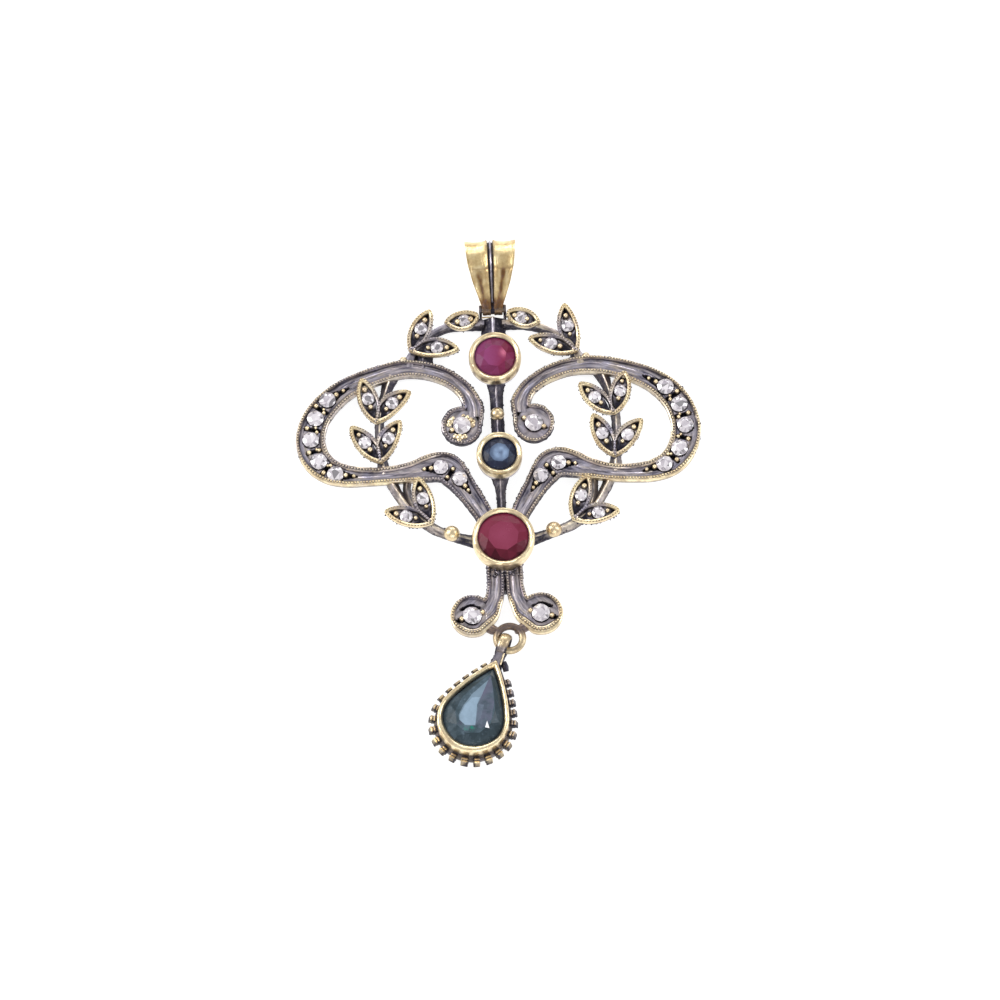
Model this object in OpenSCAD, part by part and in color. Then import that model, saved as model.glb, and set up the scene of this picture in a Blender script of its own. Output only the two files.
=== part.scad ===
/* [Frame] */
// Height of the rims of a scroll strip above its back
strip_t = 1.6; // [1.4:0.05:1.8]
// Thickness of a strip's front, which overhangs its narrower back
front_t = 0.8; // [0.7:0.05:0.9]
// Width of that overhang on each side
overhang = 0.3; // [0.2:0.02:0.34]
// Width of the raised rim along both edges of a strip
rim_w = 0.32; // [0.25:0.01:0.38]
// Depth of the channel between the two rims
channel_d = 0.35; // [0.2:0.05:0.45]
// Radius of the disc at the inner end of a scroll
scroll_eye_r = 2.05; // [1.95:0.05:2.15]
// Height of the ridge of a knife-edge bar above the back
bar_h = 1.35; // [1.1:0.05:1.5]
// Radius of the disc at the foot of the frame
foot_r = 2.2; // [2.05:0.05:2.3]

/* [Leaves] */
// Width of a leaf across its middle
leaf_w = 2.15; // [1.95:0.05:2.2]
// Height of a leaf's rim above the back of the frame
leaf_top = 1.9; // [1.75:0.05:2.1]
// Thickness of a leaf
leaf_t = 0.75; // [0.65:0.05:0.9]
// Width of a leaf's rim
leaf_rim = 0.28; // [0.2:0.01:0.32]
// Depth of the floor inside a leaf's rim
leaf_d = 0.4; // [0.3:0.05:0.45]

/* [Collets] */
// Height of the three round collets
collet_h = 3.2; // [3:0.1:3.6]
// Diameter of the upper ruby
ruby_top_d = 4.3; // [4.1:0.05:4.4]
// Diameter of the sapphire
sapphire_d = 3.66; // [3.4:0.02:3.8]
// Diameter of the lower ruby
ruby_main_d = 5.3; // [5:0.05:5.5]
// Width of a collet's wall outside its stone
collet_wall = 0.48; // [0.4:0.02:0.6]

/* [Diamonds] */
// Diameter of a diamond on the outside of a scroll
scroll_stone_d = 1.65; // [1.5:0.05:1.7]
// Diameter of a diamond on an arm
arm_stone_d = 1.5; // [1.3:0.05:1.6]
// Diameter of a diamond in a leaf
leaf_stone_d = 1.3; // [1.1:0.05:1.35]
// Diameter of the diamond in a scroll's eye
eye_stone_d = 1.8; // [1.5:0.05:2]
// Diameter of the diamond in a foot
foot_stone_d = 1.85; // [1.5:0.05:2]

/* [Bail] */
// Width of the bail where the chain bears on it
bail_w = 5.1; // [4.7:0.1:5.2]
// Thickness of the bail's strip
bail_t = 0.5; // [0.45:0.01:0.55]
// Depth of the hollow along each lobe of the bail
flute_d = 0.2; // [0.1:0.02:0.26]
// Diameter of the bar that the bail turns on
pin_d = 0.64; // [0.56:0.02:0.68]
// Clearance all round between the bar and the bail's eye
pin_gap = 0.05; // [0.03:0.01:0.08]
// Outer diameter of the bail's eye
bail_eye_d = 1.2; // [1.14:0.02:1.26]

/* [Drop] */
// Width of the pear bezel
pear_w = 7.2; // [7:0.1:7.6]
// Distance from the middle of the pear's round end to its tip
pear_tip = 6.6; // [6.2:0.1:6.8]
// Height of the pear bezel
bezel_h = 2.5; // [2.3:0.1:2.8]
// Lean of the drop as it lies, from straight down
drop_lean = 23; // [16:1:26]
// Number of equal places round the toothed gallery
tooth_places = 25; // [23:1:26]
// Width of a gallery tooth
tooth_w = 0.72; // [0.6:0.02:0.8]
// Length that a tooth stands out beyond the bezel
tooth_out = 0.88; // [0.7:0.02:1]
// Diameter of the jump ring's wire
ring_wire_d = 0.74; // [0.66:0.02:0.76]
// Radius of the jump ring at the middle of its wire
ring_r = 1.3; // [1.26:0.01:1.34]
// Thickness of the drop's hook
hook_t = 0.5; // [0.44:0.02:0.54]

/* [Hidden] */
$fn = 64;
// Small overshoot of a cut past a face
over = 0.1;
// Clearance between a stone and its seat
seat_gap = 0.04;
// Columns of a path: across, along, half of the width there
X = 0;
Y = 1;
HALF = 2;
// Steps between two rows of a path
PATH_STEPS = 3;

// The two sides are not quite alike: LIFT is how much higher the left side is than the right
LIFT = 3;
// Middle line of a scroll, from its eye over the top and round to the collet of the lower ruby:
// across, along, half of the width, lift
SCROLL_PATH = [
    [2.35, 3.6, 0.95, -0.3],
    [2.45, 4.9, 0.98, -0.2],
    [3.1, 6.15, 0.86, 0],
    [4.2, 7.2, 0.84, 0.2],
    [5.6, 8.0, 0.87, 0.3],
    [7.35, 8.55, 0.88, 0.3],
    [9.3, 8.7, 0.93, 0.3],
    [11.45, 8.35, 0.97, 0.1],
    [13.6, 7.65, 1.04, 0],
    [15.4, 6.75, 1.17, -0.1],
    [16.95, 5.5, 1.3, -0.2],
    [18.2, 3.8, 1.4, -0.1],
    [18.8, 1.6, 1.48, 0.1],
    [18.35, -0.5, 1.45, 0.3],
    [17.15, -1.95, 1.33, 0.6],
    [15.4, -2.65, 1.12, 0.7],
    [13.3, -2.85, 0.93, 0.7],
    [11.0, -2.75, 0.9, 0.6],
    [8.8, -2.35, 1.1, 0.3],
    [7.3, -1.95, 1.4, 0.1],
    [6.1, -1.74, 1.55, 0],
    [5.1, -2.05, 1.56, 0],
    [4.3, -3.02, 1.4, 0],
    [3.58, -4.12, 1.2, 0],
    [2.97, -5.05, 1.1, 0],
    [2.1, -6.55, 1.0, 0],
    [1.55, -7.55, 0.95, 0]
];
SCROLL_EYE = [3.62, 2.52];
// Foot of the frame, from under the lower ruby to the middle of its disc
FOOT_PATH = [
    [0.95, -12.2, 0.87],
    [0.95, -14.4, 0.87],
    [1.1, -15.8, 0.92],
    [1.65, -17.1, 1.0],
    [2.5, -17.9, 1.15]
];
FOOT_DISC = [3.43, -17.84];
foot_back = 0.5;
// Knife-edge bars of one side, each a path of its own, with the columns of the scroll's path
SIDE_BARS = [
    // From the scroll up behind the leaves to the middle of the top
    [
        [8.6, 8.9, 0.75, 0.3],
        [8.25, 10.0, 0.6, 0.4],
        [7.4, 11.5, 0.48, 0.5],
        [6.1, 12.5, 0.42, 0.4],
        [4.6, 13.2, 0.45, 0.4],
        [3.0, 13.5, 0.5, 0.1],
        [0.9, 13.5, 0.5, 0]
    ],
    // Across the inside of the scroll
    [
        [10.5, 8.2, 0.8, 0.2],
        [11.1, 6.5, 0.5, 0.1],
        [11.8, 3.6, 0.48, 0],
        [11.8, 0.8, 0.45, 0.1],
        [11.65, -1.2, 0.55, 0.3],
        [11.6, -2.6, 0.95, 0.6]
    ],
    // From the scroll down behind the lower leaves to the lower ruby
    [
        [11.0, -3.1, 0.55, 0.6],
        [10.2, -4.7, 0.5, 0.6],
        [8.9, -6.6, 0.48, 0.5],
        [7.0, -8.1, 0.5, 0.2],
        [5.1, -8.95, 0.45, 0],
        [3.4, -9.5, 0.55, 0],
        [2.4, -9.7, 0.75, 0]
    ],
    // Short branch of that bar, beside the upright leaf
    [
        [9.3, -3.2, 0.42, 0.4],
        [9.35, -4.6, 0.36, 0.5],
        [8.8, -6.3, 0.36, 0.5]
    ]
];
// Short wide bar between the left scroll and its upper leaves
LEFT_BLOCK = [[-7.15, 8.9, 1.0], [-7.15, 10.6, 0.95]];
// Knife-edge bars on the middle line
MIDDLE_BARS = [
    [
        [0, 14.05, 1.15],
        [0, 12.6, 1.22],
        [0, 11.2, 1.3]
    ],
    [
        [0, 7.1, 0.95],
        [0, 6.1, 0.7],
        [0, 4.9, 0.66],
        [0, 2.0, 0.66],
        [0, 0.6, 0.7]
    ],
    [
        [0, -2.9, 0.9],
        [0, -4.2, 0.54],
        [0, -5.4, 0.46],
        [0, -6.6, 0.5],
        [0, -7.6, 0.8]
    ]
];
// Columns of a leaf: across and along at its foot, across and along at its tip,
// and how far its middle is bowed to the left of the way from foot to tip
TIP_X = 2;
TIP_Y = 3;
BOW = 4;
LEFT_LEAVES = [
    [4.9, 13.6, 1.25, 14.2, 0.25],
    [8.55, 10.55, 6.15, 15.15, 0],
    [8.55, 10.55, 3.35, 10.6, -0.35],
    [12.15, 2.9, 13.5, 8.1, 0],
    [12.15, 2.9, 8.4, 6.4, -0.5],
    [11.85, -1.35, 14.85, 2.95, 0.1],
    [11.85, -1.35, 9.6, 3.4, -0.4],
    [6.9, -8.0, 8.3, -2.7, -0.2],
    [6.9, -8.0, 11.9, -6.35, 0.1]
];
RIGHT_LEAVES = [
    [4.75, 13.2, 1.25, 14.45, 0.1],
    [8.35, 9.8, 7.2, 15.3, 0.3],
    [8.35, 9.8, 3.3, 11.6, -0.1],
    [11.7, 2.9, 13.0, 7.75, 0],
    [11.7, 2.9, 8.2, 6.65, 0],
    [11.5, -1.65, 14.6, 2.5, 0.3],
    [11.5, -1.65, 9.45, 3.3, 0],
    [7.0, -8.2, 8.8, -3.2, 0],
    [7.0, -8.2, 11.95, -7.3, 0.25]
];
// Part of a leaf's length between its foot and its diamond
LEAF_STONE_AT = 0.54;
// Columns of a diamond of one side: name, across, along, diameter, height of its girdle
STONE_NAME = 0;
STONE_X = 1;
STONE_Y = 2;
STONE_D = 3;
STONE_Z = 4;
scroll_girdle = strip_t - 0.12;
leaf_girdle = leaf_top - 0.28;
STONE_LIFT = 5;
SCROLL_STONES = [
    ["eye", SCROLL_EYE[X], SCROLL_EYE[Y], eye_stone_d, scroll_girdle, 0],
    ["scroll_1", 16.95, 5.82, scroll_stone_d, scroll_girdle, 0],
    ["scroll_2", 18.22, 3.87, scroll_stone_d, scroll_girdle, 0],
    ["scroll_3", 18.75, 1.61, scroll_stone_d, scroll_girdle, 0],
    ["scroll_4", 18.05, -0.8, scroll_stone_d, scroll_girdle, 0.1],
    ["scroll_5", 16.45, -2.3, scroll_stone_d, scroll_girdle, 0.3],
    ["arm_1", 5.9, -1.85, arm_stone_d, scroll_girdle, 0],
    ["arm_2", 4.05, -3.15, arm_stone_d, scroll_girdle, 0],
    ["foot", FOOT_DISC[X], FOOT_DISC[Y], foot_stone_d, scroll_girdle, 0]
];
SIDES = [["left", -1], ["right", 1]];
DIAMONDS = [
    for (side = SIDES, stone = concat(SCROLL_STONES, leaf_stones(side_leaves(side[1]))))
        [
            str("diamond_", side[0], "_", stone[STONE_NAME]),
            side[1] * stone[STONE_X],
            stone[STONE_Y] - side[1] * stone[STONE_LIFT] / 2,
            stone[STONE_D],
            stone[STONE_Z]
        ]
];
// Columns of a round collet: along, stone diameter
COLLET_Y = 0;
COLLET_D = 1;
RUBY_TOP = [9.19, ruby_top_d];
SAPPHIRE = [-1.22, sapphire_d];
RUBY_MAIN = [-10.14, ruby_main_d];
COLLETS = [RUBY_TOP, SAPPHIRE, RUBY_MAIN];
collet_girdle = collet_h - 0.45;

// Gold balls soldered on the bars: across, along, radius
SIDE_BALL = [5.1, -8.9, 0.8];
MIDDLE_BALL = [0, 3.68, 0.7];

// Bar at the top of the frame that the bail turns on
pin_y = 14.8;
pin_z = 1.5;
lug_in = 1.06;
lug_w = 0.3;
lug_r = 0.46;
lug_root = 13.3;
lug_gap = 0.1;
// Path of the bail's strip round the chain's way, seen from its side:
// out, up, half of the width, and part of the flutes' depth
FLUTED = 3;
BAIL_PATH = [
    [0, 0.36, 1, 0],
    [0.45, 0.66, 1.14, 0.8],
    [1.1, 1.1, 1.42, 1],
    [2.3, 1.75, 1.88, 1],
    [3.1, 2.15, 2.1, 1],
    [3.9, 2.45, 2.32, 1],
    [5.0, 2.55, 2.46, 1],
    [6.15, 2.15, 2.55, 1],
    [6.8, 1.2, 2.55, 1],
    [6.8, 0.2, 2.5, 1],
    [6.15, -0.7, 2.38, 1],
    [4.6, -1.1, 2.05, 1],
    [2.9, -1.12, 1.62, 1],
    [1.5, -1.0, 1.25, 1],
    [0.6, -0.7, 1.06, 0.8],
    [0, -0.36, 1, 0]
];
// Outer face of the bail's strip: part of the half width, part of the flute's depth
BAIL_SECTION = [
    [-1, 0],
    [-0.78, 0.75],
    [-0.56, 1],
    [-0.32, 0.7],
    [-0.16, 0],
    [-0.1, 1.5],
    [0, 1.1],
    [0.1, 1.5],
    [0.16, 0],
    [0.32, 0.7],
    [0.56, 1],
    [0.78, 0.75],
    [1, 0]
];
bail_eye_w = 2.02;

// Jump ring under the feet and the drop's hook through it
ring_x = 0.18;
ring_y = -20.4;
ring_z = 1.3;
hook_r = 1.05;
hook_half = 0.55;
hook_at = 8.6;
pear_r = pear_w / 2;
// Angle above the pear's middle at which its round end turns into its two side arcs
pear_turn = 24;
// Radius of the side arcs, which meet at the tip
pear_side_r = (pear_tip * pear_tip + pear_r * pear_r - 2 * pear_r * pear_tip * sin(pear_turn))
    / (2 * (pear_r - pear_tip * sin(pear_turn)));
// Middle of the side arc on the right
pear_side_middle = (pear_r - pear_side_r) * [cos(pear_turn), sin(pear_turn)];
hook_from_ring = [-0.66, -0.77];
drop_y = ring_y + hook_from_ring[Y] - hook_at * cos(drop_lean);
drop_x = ring_x + hook_from_ring[X] - hook_at * sin(drop_lean);
pear_girdle = 1.85;
pear_lip = 0.6;
pear_seat = 0.42;

// Height of a gallery tooth and its rise from the bezel outwards
tooth_h = 0.8;
tooth_rise = 18;

// The origin is under the middle of the whole pendant's length
bail_reach = 7.13;
top_y = pin_y + bail_reach;
bottom_y = drop_y - pear_r - tooth_out * cos(tooth_rise) - tooth_h / 2 * sin(tooth_rise);
middle_y = (top_y + bottom_y) / 2;

// Point at part t of the way from b to c on a smooth curve through a, b, c and d
function curve_point(a, b, c, d, t) =
    0.5 * (2 * b + (c - a) * t + (2 * a - 5 * b + 4 * c - d) * t * t
        + (3 * b - a - 3 * c + d) * t * t * t);

// Rows between the rows of a path, on a smooth curve
function smooth(path, steps = PATH_STEPS) =
    let (last = len(path) - 1)
    concat(
        [
            for (i = [0 : last - 1], k = [0 : steps - 1])
                curve_point(
                    path[max(i - 1, 0)],
                    path[i],
                    path[i + 1],
                    path[min(i + 2, last)],
                    k / steps
                )
        ],
        [path[last]]
    );

// A path as it is on one side, 1 for the right and -1 for the left
function side_path(path, side) = [
    for (row = path)
        [row[X], row[Y] - side * row[LIFT] / 2, row[HALF]]
];

function side_leaves(side) = side < 0 ? LEFT_LEAVES : RIGHT_LEAVES;

// Point of a leaf's bowed middle line, at part t of its length
function leaf_point(row, t) =
    let (
        span = [row[TIP_X] - row[X], row[TIP_Y] - row[Y]],
        away = [-span[Y], span[X]] / norm(span)
    )
    [row[X], row[Y]] + span * t + away * row[BOW] * 4 * t * (1 - t);

// Diamonds of one side's leaves
function leaf_stones(leaves) = [
    for (i = [0 : len(leaves) - 1])
        let (place = leaf_point(leaves[i], LEAF_STONE_AT))
        [str("leaf_", i + 1), place[X], place[Y], leaf_stone_d, leaf_girdle, 0]
];

// Direction of a path at its row i
function heading(path, i) =
    let (
        before = path[max(i - 1, 0)],
        after = path[min(i + 1, len(path) - 1)],
        step = [after[X] - before[X], after[Y] - before[Y]]
    )
    step / norm(step);

// Edge of a strip, side 1 to the left of its path and -1 to the right
function strip_edge(path, side, inset) = [
    for (i = [0 : len(path) - 1])
        let (along = heading(path, i), off = side * (path[i][HALF] - inset))
        [path[i][X] - along[Y] * off, path[i][Y] + along[X] * off]
];

function reversed(list) = [for (i = [len(list) - 1 : -1 : 0]) list[i]];

function strip_outline(path, inset) =
    concat(strip_edge(path, 1, inset), reversed(strip_edge(path, -1, inset)));

// Outline of a leaf: two arcs that meet at its foot and tip, bowed with its middle line
function leaf_outline(row, width, inset, steps = 7) =
    let (
        span = [row[TIP_X] - row[X], row[TIP_Y] - row[Y]],
        length = norm(span),
        along = span / length,
        away = [-along[Y], along[X]],
        r = (length * length + width * width) / (4 * width),
        low = r - width / 2,
        half_angle = acos(low / (r - inset)),
        arc = [
            for (i = [0 : steps])
                let (a = 90 + half_angle * (1 - 2 * i / steps))
                [length / 2 + (r - inset) * cos(a), (r - inset) * sin(a) - low]
        ],
        oval = concat(arc, [for (i = [steps - 1 : -1 : 1]) [arc[i][X], -arc[i][Y]]])
    )
    [
        for (p = oval)
            let (t = p[X] / length)
            [row[X], row[Y]] + along * p[X] + away * (p[Y] + row[BOW] * 4 * t * (1 - t))
    ];

// Side arc of the pear's outline, from its round end to the tip
function pear_side(inset, steps) =
    let (r = pear_side_r - inset, tip_angle = acos(-pear_side_middle[X] / r))
    [
        for (i = [0 : steps])
            let (a = pear_turn + (tip_angle - pear_turn) * i / steps)
            pear_side_middle + r * [cos(a), sin(a)]
    ];

function pear_outline(inset, steps = 9) =
    let (side = pear_side(inset, steps), left = reversed(side))
    concat(
        side,
        [for (i = [1 : steps]) [-left[i][X], left[i][Y]]],
        [
            for (i = [1 : 2 * steps - 1])
                let (a = 180 - pear_turn + (90 + pear_turn) * i / steps)
                (pear_r - inset) * [cos(a), sin(a)]
        ]
    );

function side_arc_angle() = acos(-pear_side_middle[X] / pear_side_r) - pear_turn;

// Place on the pear's outline at a distance from its tip: across, along, angle of the way out
function pear_place(distance) =
    let (
        side_length = pear_side_r * side_arc_angle() * PI / 180,
        round_length = pear_r * (180 + 2 * pear_turn) * PI / 180,
        on_left = distance > side_length + round_length,
        s = on_left ? 2 * side_length + round_length - distance : distance,
        on_side = s < side_length,
        a = on_side
            ? pear_turn + side_arc_angle() - s / pear_side_r * 180 / PI
            : pear_turn - (s - side_length) / pear_r * 180 / PI,
        place = on_side
            ? pear_side_middle + pear_side_r * [cos(a), sin(a)]
            : pear_r * [cos(a), sin(a)]
    )
    [on_left ? -place[X] : place[X], place[Y], on_left ? 180 - a : a];

function pear_length() =
    (2 * pear_side_r * side_arc_angle() + pear_r * (180 + 2 * pear_turn)) * PI / 180;

// Round stone: a flat table, a crown of three rows of facets and a pointed back
module round_stone(d, crown, back, table = 0.56) {
    r = d / 2;
    points = concat(
        [for (i = [0 : 7]) [r * table * cos(45 * i), r * table * sin(45 * i), crown]],
        [for (i = [0 : 15]) [r * cos(22.5 * i), r * sin(22.5 * i), 0]],
        [[0, 0, -back]]
    );
    faces = concat(
        [[for (i = [7 : -1 : 0]) i]],
        [for (i = [0 : 7]) [i, (i + 1) % 8, 8 + 2 * i + 1]],
        [for (i = [0 : 7]) [i, 8 + 2 * i + 1, 8 + 2 * i]],
        [for (i = [0 : 7]) [(i + 1) % 8, 8 + (2 * i + 2) % 16, 8 + 2 * i + 1]],
        [for (i = [0 : 15]) [8 + i, 8 + (i + 1) % 16, 24]]
    );
    polyhedron(points = points, faces = faces);
}

// Bar with upright sides and a ridge along its middle line
module knife_bar(path, height = bar_h, back = 0.15) {
    rows = smooth(path, 2);
    left = strip_edge(rows, 1, 0);
    right = strip_edge(rows, -1, 0);
    shoulder = back + 0.45 * (height - back);
    last = len(rows) - 1;
    points = [
        for (i = [0 : last])
            each [
                [left[i][X], left[i][Y], back],
                [left[i][X], left[i][Y], shoulder],
                [rows[i][X], rows[i][Y], height],
                [right[i][X], right[i][Y], shoulder],
                [right[i][X], right[i][Y], back]
            ]
    ];
    faces = concat(
        [[for (k = [0 : 4]) k]],
        [
            for (i = [0 : last - 1], k = [0 : 4])
                let (a = 5 * i, b = 5 * i + 5, n = (k + 1) % 5)
                each [[a + k, b + k, b + n], [a + k, b + n, a + n]]
        ],
        [[for (k = [4 : -1 : 0]) 5 * last + k]]
    );
    polyhedron(points = points, faces = faces);
}

// Outline of a strip that ends in a disc
module strip_shape(rows, disc, disc_r, inset) {
    polygon(strip_outline(rows, inset));
    translate([disc[X], disc[Y]])
        circle(r = disc_r - inset);
}

// Strip and disc with one channel along both, on a narrower back
module channelled(path, disc, disc_r, back) {
    rows = smooth(path);
    difference() {
        union() {
            translate([0, 0, strip_t - front_t])
                linear_extrude(front_t)
                    strip_shape(rows, disc, disc_r, 0);
            translate([0, 0, back])
                linear_extrude(strip_t - front_t - back + over)
                    strip_shape(rows, disc, disc_r, overhang);
        }
        translate([0, 0, strip_t - channel_d])
            linear_extrude(channel_d + over)
                strip_shape(rows, disc, disc_r, rim_w);
    }
}

module leaf(row) {
    difference() {
        translate([0, 0, leaf_top - leaf_t])
            linear_extrude(leaf_t)
                polygon(leaf_outline(row, leaf_w, 0));
        translate([0, 0, leaf_top - leaf_d])
            linear_extrude(leaf_d + over)
                polygon(leaf_outline(row, leaf_w, leaf_rim));
    }
}

module ball(place, height) {
    translate([place[X], place[Y], height])
        sphere(r = place[2]);
}

// Solid outside of a round collet, narrower at the back
module collet_body(collet) {
    r = collet[COLLET_D] / 2 + collet_wall;
    translate([0, collet[COLLET_Y], 0])
        rotate_extrude()
            polygon([
                [0, 0],
                [r * 0.74, 0],
                [r, collet_h * 0.68],
                [r, collet_h - 0.24],
                [r - 0.08, collet_h - 0.08],
                [r - 0.24, collet_h],
                [0, collet_h]
            ]);
}

// Room for a round stone, open at the back, with a lip over the stone's edge
module collet_room(collet) {
    r = collet[COLLET_D] / 2;
    translate([0, collet[COLLET_Y], 0])
        rotate_extrude()
            polygon([
                [0, -over],
                [r * 0.7, -over],
                [r * 0.86, collet_girdle - 0.42],
                [r + seat_gap, collet_girdle - 0.06],
                [r + seat_gap, collet_girdle + 0.12],
                [r - 0.1, collet_girdle + 0.26],
                [r - 0.08, collet_h + over],
                [0, collet_h + over]
            ]);
}

// Seat of a diamond, drilled through to the back
module diamond_room(stone) {
    r = stone[STONE_D] / 2;
    translate([stone[STONE_X], stone[STONE_Y], 0]) {
        translate([0, 0, stone[STONE_Z] - r * 0.95])
            cylinder(r = r + seat_gap, h = r + 1);
        translate([0, 0, -over])
            cylinder(r = r * 0.6, h = stone[STONE_Z] - r * 0.9 + over);
    }
}

// Right half of the frame, or the left half turned over to the right
module side_of_frame(side) {
    channelled(side_path(SCROLL_PATH, side), SCROLL_EYE, scroll_eye_r, 0);
    channelled(FOOT_PATH, FOOT_DISC, foot_r, foot_back);
    for (row = side_leaves(side))
        leaf(row);
    for (path = SIDE_BARS)
        knife_bar(side_path(path, side));
    ball(SIDE_BALL, 1.15);
    // Lug that holds one end of the bail's bar
    translate([lug_in, pin_y, pin_z])
        rotate([0, 90, 0])
            cylinder(r = lug_r, h = lug_w);
    translate([lug_in, lug_root, pin_z - lug_r])
        cube([lug_w, pin_y - lug_root, 0.28]);
    // Solder between the jump ring and the foot
    translate([1.55, -19.32, 0.6])
        cylinder(r = 0.55, h = 0.95);
}

module frame_metal() {
    side_of_frame(1);
    mirror([1, 0, 0])
        side_of_frame(-1);
    knife_bar(LEFT_BLOCK);
    for (path = MIDDLE_BARS)
        knife_bar(path);
    ball(MIDDLE_BALL, 1.2);
    for (collet = COLLETS)
        collet_body(collet);
    translate([-lug_in - 0.1, pin_y, pin_z])
        rotate([0, 90, 0])
            cylinder(d = pin_d, h = 2 * lug_in + 0.2);
    translate([ring_x, ring_y, ring_z])
        rotate_extrude()
            translate([ring_r, 0])
                circle(d = ring_wire_d);
}

// All soldered metal of the pendant: scrolls, leaves, bars, collets, feet and jump ring
module frame() {
    color("darkkhaki")
        difference() {
            frame_metal();
            for (stone = DIAMONDS)
                diamond_room(stone);
            for (collet = COLLETS)
                collet_room(collet);
        }
}

// Fluted strip of the bail, round the chain's way
module bail_strip() {
    rows = smooth(BAIL_PATH, 2);
    outer = len(BAIL_SECTION);
    ring = outer + 2;
    last = len(rows) - 1;
    wide = bail_w / 5.1;
    points = [
        for (i = [0 : last])
            let (
                along = heading(rows, i),
                out = [-along[Y], along[X]],
                half = rows[i][HALF] * wide,
                flute = flute_d * rows[i][FLUTED],
                at = [rows[i][X], rows[i][Y]]
            )
            each concat(
                [
                    for (place = BAIL_SECTION)
                        let (p = at + out * (bail_t / 2 - flute * place[1]))
                        [place[0] * half, p[X], p[Y]]
                ],
                [
                    for (side = [0.94, -0.94])
                        let (p = at - out * bail_t / 2)
                        [side * half, p[X], p[Y]]
                ]
            )
    ];
    faces = concat(
        [[for (k = [0 : ring - 1]) (outer + k) % ring]],
        [
            for (i = [0 : last - 1], k = [0 : ring - 1])
                let (a = ring * i, b = ring * (i + 1), n = (k + 1) % ring)
                each [[a + k, b + k, a + n], [a + n, b + k, b + n]]
        ],
        [[for (k = [0 : ring - 1]) ring * last + (outer + ring - k) % ring]]
    );
    polyhedron(points = points, faces = faces);
}

// Bail with the eye that turns on the frame's bar
module bail() {
    color("goldenrod")
        translate([0, pin_y, pin_z])
            difference() {
                union() {
                    bail_strip();
                    rotate([0, 90, 0])
                        cylinder(d = bail_eye_d, h = bail_eye_w, center = true);
                }
                rotate([0, 90, 0])
                    cylinder(d = pin_d + 2 * pin_gap, h = bail_w, center = true);
                // Room for the frame's lugs beside the eye
                for (side = [0, 180])
                    rotate([0, 90, side])
                        translate([0, 0, bail_eye_w / 2])
                            cylinder(r = lug_r + lug_gap, h = bail_w);
            }
}

// Places the drop as it lies, with the middle of its round end at the origin
module place_drop() {
    translate([drop_x, drop_y, 0])
        rotate(-drop_lean)
            children();
}

// Crown of teeth that stands out round the pear bezel
module gallery() {
    pitch = pear_length() / tooth_places;
    linear_extrude(0.9)
        polygon(pear_outline(-0.3));
    for (i = [2 : tooth_places - 1]) {
        place = pear_place(i * pitch);
        translate([place[0], place[1], 0.55])
            rotate([0, -tooth_rise, place[2]])
                translate([-0.2, -tooth_w / 2, -tooth_h / 2])
                    cube([tooth_out + 0.2, tooth_w, tooth_h]);
    }
}

// Broad rounded loop through the jump ring, and the stalk from it to the bezel's tip
module drop_hook() {
    translate([0, hook_at, ring_z + 0.02])
        rotate([0, 90, 0])
            rotate_extrude()
                polygon([
                    for (i = [0 : 19])
                        [hook_r + hook_t / 2 * cos(18 * i), hook_half * sin(18 * i)]
                ]);
    knife_bar([[0, pear_tip - 0.6, 0.7], [0, pear_tip + 0.4, 0.5], [0, hook_at - 0.95, 0.48]], 2.1, 0.5);
}

// Pear bezel with its gallery and hook
module drop_setting() {
    color("goldenrod")
        place_drop()
            difference() {
                union() {
                    linear_extrude(bezel_h)
                        polygon(pear_outline(0));
                    gallery();
                    drop_hook();
                }
                translate([0, 0, -over])
                    linear_extrude(2)
                        polygon(pear_outline(0.95));
                translate([0, 0, pear_girdle - 0.35])
                    linear_extrude(0.65)
                        polygon(pear_outline(pear_seat));
                translate([0, 0, pear_girdle])
                    linear_extrude(bezel_h)
                        polygon(pear_outline(pear_lip));
            }
}

// Pear stone: table, a crown of two rows, and a back that runs to a point
module drop_stone() {
    color("darkslategray")
        place_drop() {
            steps = 4;
            girdle = pear_outline(pear_seat + seat_gap, steps);
            count = len(girdle);
            table = [for (p = girdle) [p[X] * 0.6, 0.35 + p[Y] * 0.6]];
            points = concat(
                [for (p = table) [p[X], p[Y], pear_girdle + 0.85]],
                [for (p = girdle) [p[X], p[Y], pear_girdle]],
                [[0, 0.6, 0.35]]
            );
            faces = concat(
                [[for (i = [count - 1 : -1 : 0]) i]],
                [
                    for (i = [0 : count - 1])
                        let (n = (i + 1) % count)
                        each [[i, n, count + n], [i, count + n, count + i]]
                ],
                [for (i = [0 : count - 1]) [count + i, count + (i + 1) % count, 2 * count]]
            );
            polyhedron(points = points, faces = faces);
        }
}

module collet_stone(collet, shade) {
    d = collet[COLLET_D];
    color(shade)
        translate([0, collet[COLLET_Y], collet_girdle])
            round_stone(d, 0.52, d * 0.42, 0.6);
}

module ruby_top() {
    collet_stone(RUBY_TOP, "mediumvioletred");
}

module sapphire() {
    collet_stone(SAPPHIRE, "midnightblue");
}

module ruby_main() {
    collet_stone(RUBY_MAIN, "darkred");
}

module diamond(stone) {
    d = stone[STONE_D];
    color("lavender")
        translate([stone[STONE_X], stone[STONE_Y], stone[STONE_Z]])
            round_stone(d, d * 0.15, d * 0.42);
}

translate([0, -middle_y, 0]) {
    frame();
    bail();
    drop_setting();
    ruby_top();
    sapphire();
    ruby_main();
    drop_stone();
    for (stone = DIAMONDS)
        diamond(stone);
}
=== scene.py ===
"""Gemstone pendant with two scrolls and a pear drop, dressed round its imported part.

Lengths are in mm until a mesh is made. x runs across the pendant and y along it, from the frame's
own drawing, and the part's origin is under y = MIDDLE_Y.
"""

import random
from math import acos, atan2, cos, hypot, pi, radians, sin, tan

import bmesh
import bpy
import numpy as np
from mathutils import Matrix, Vector, noise


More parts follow.
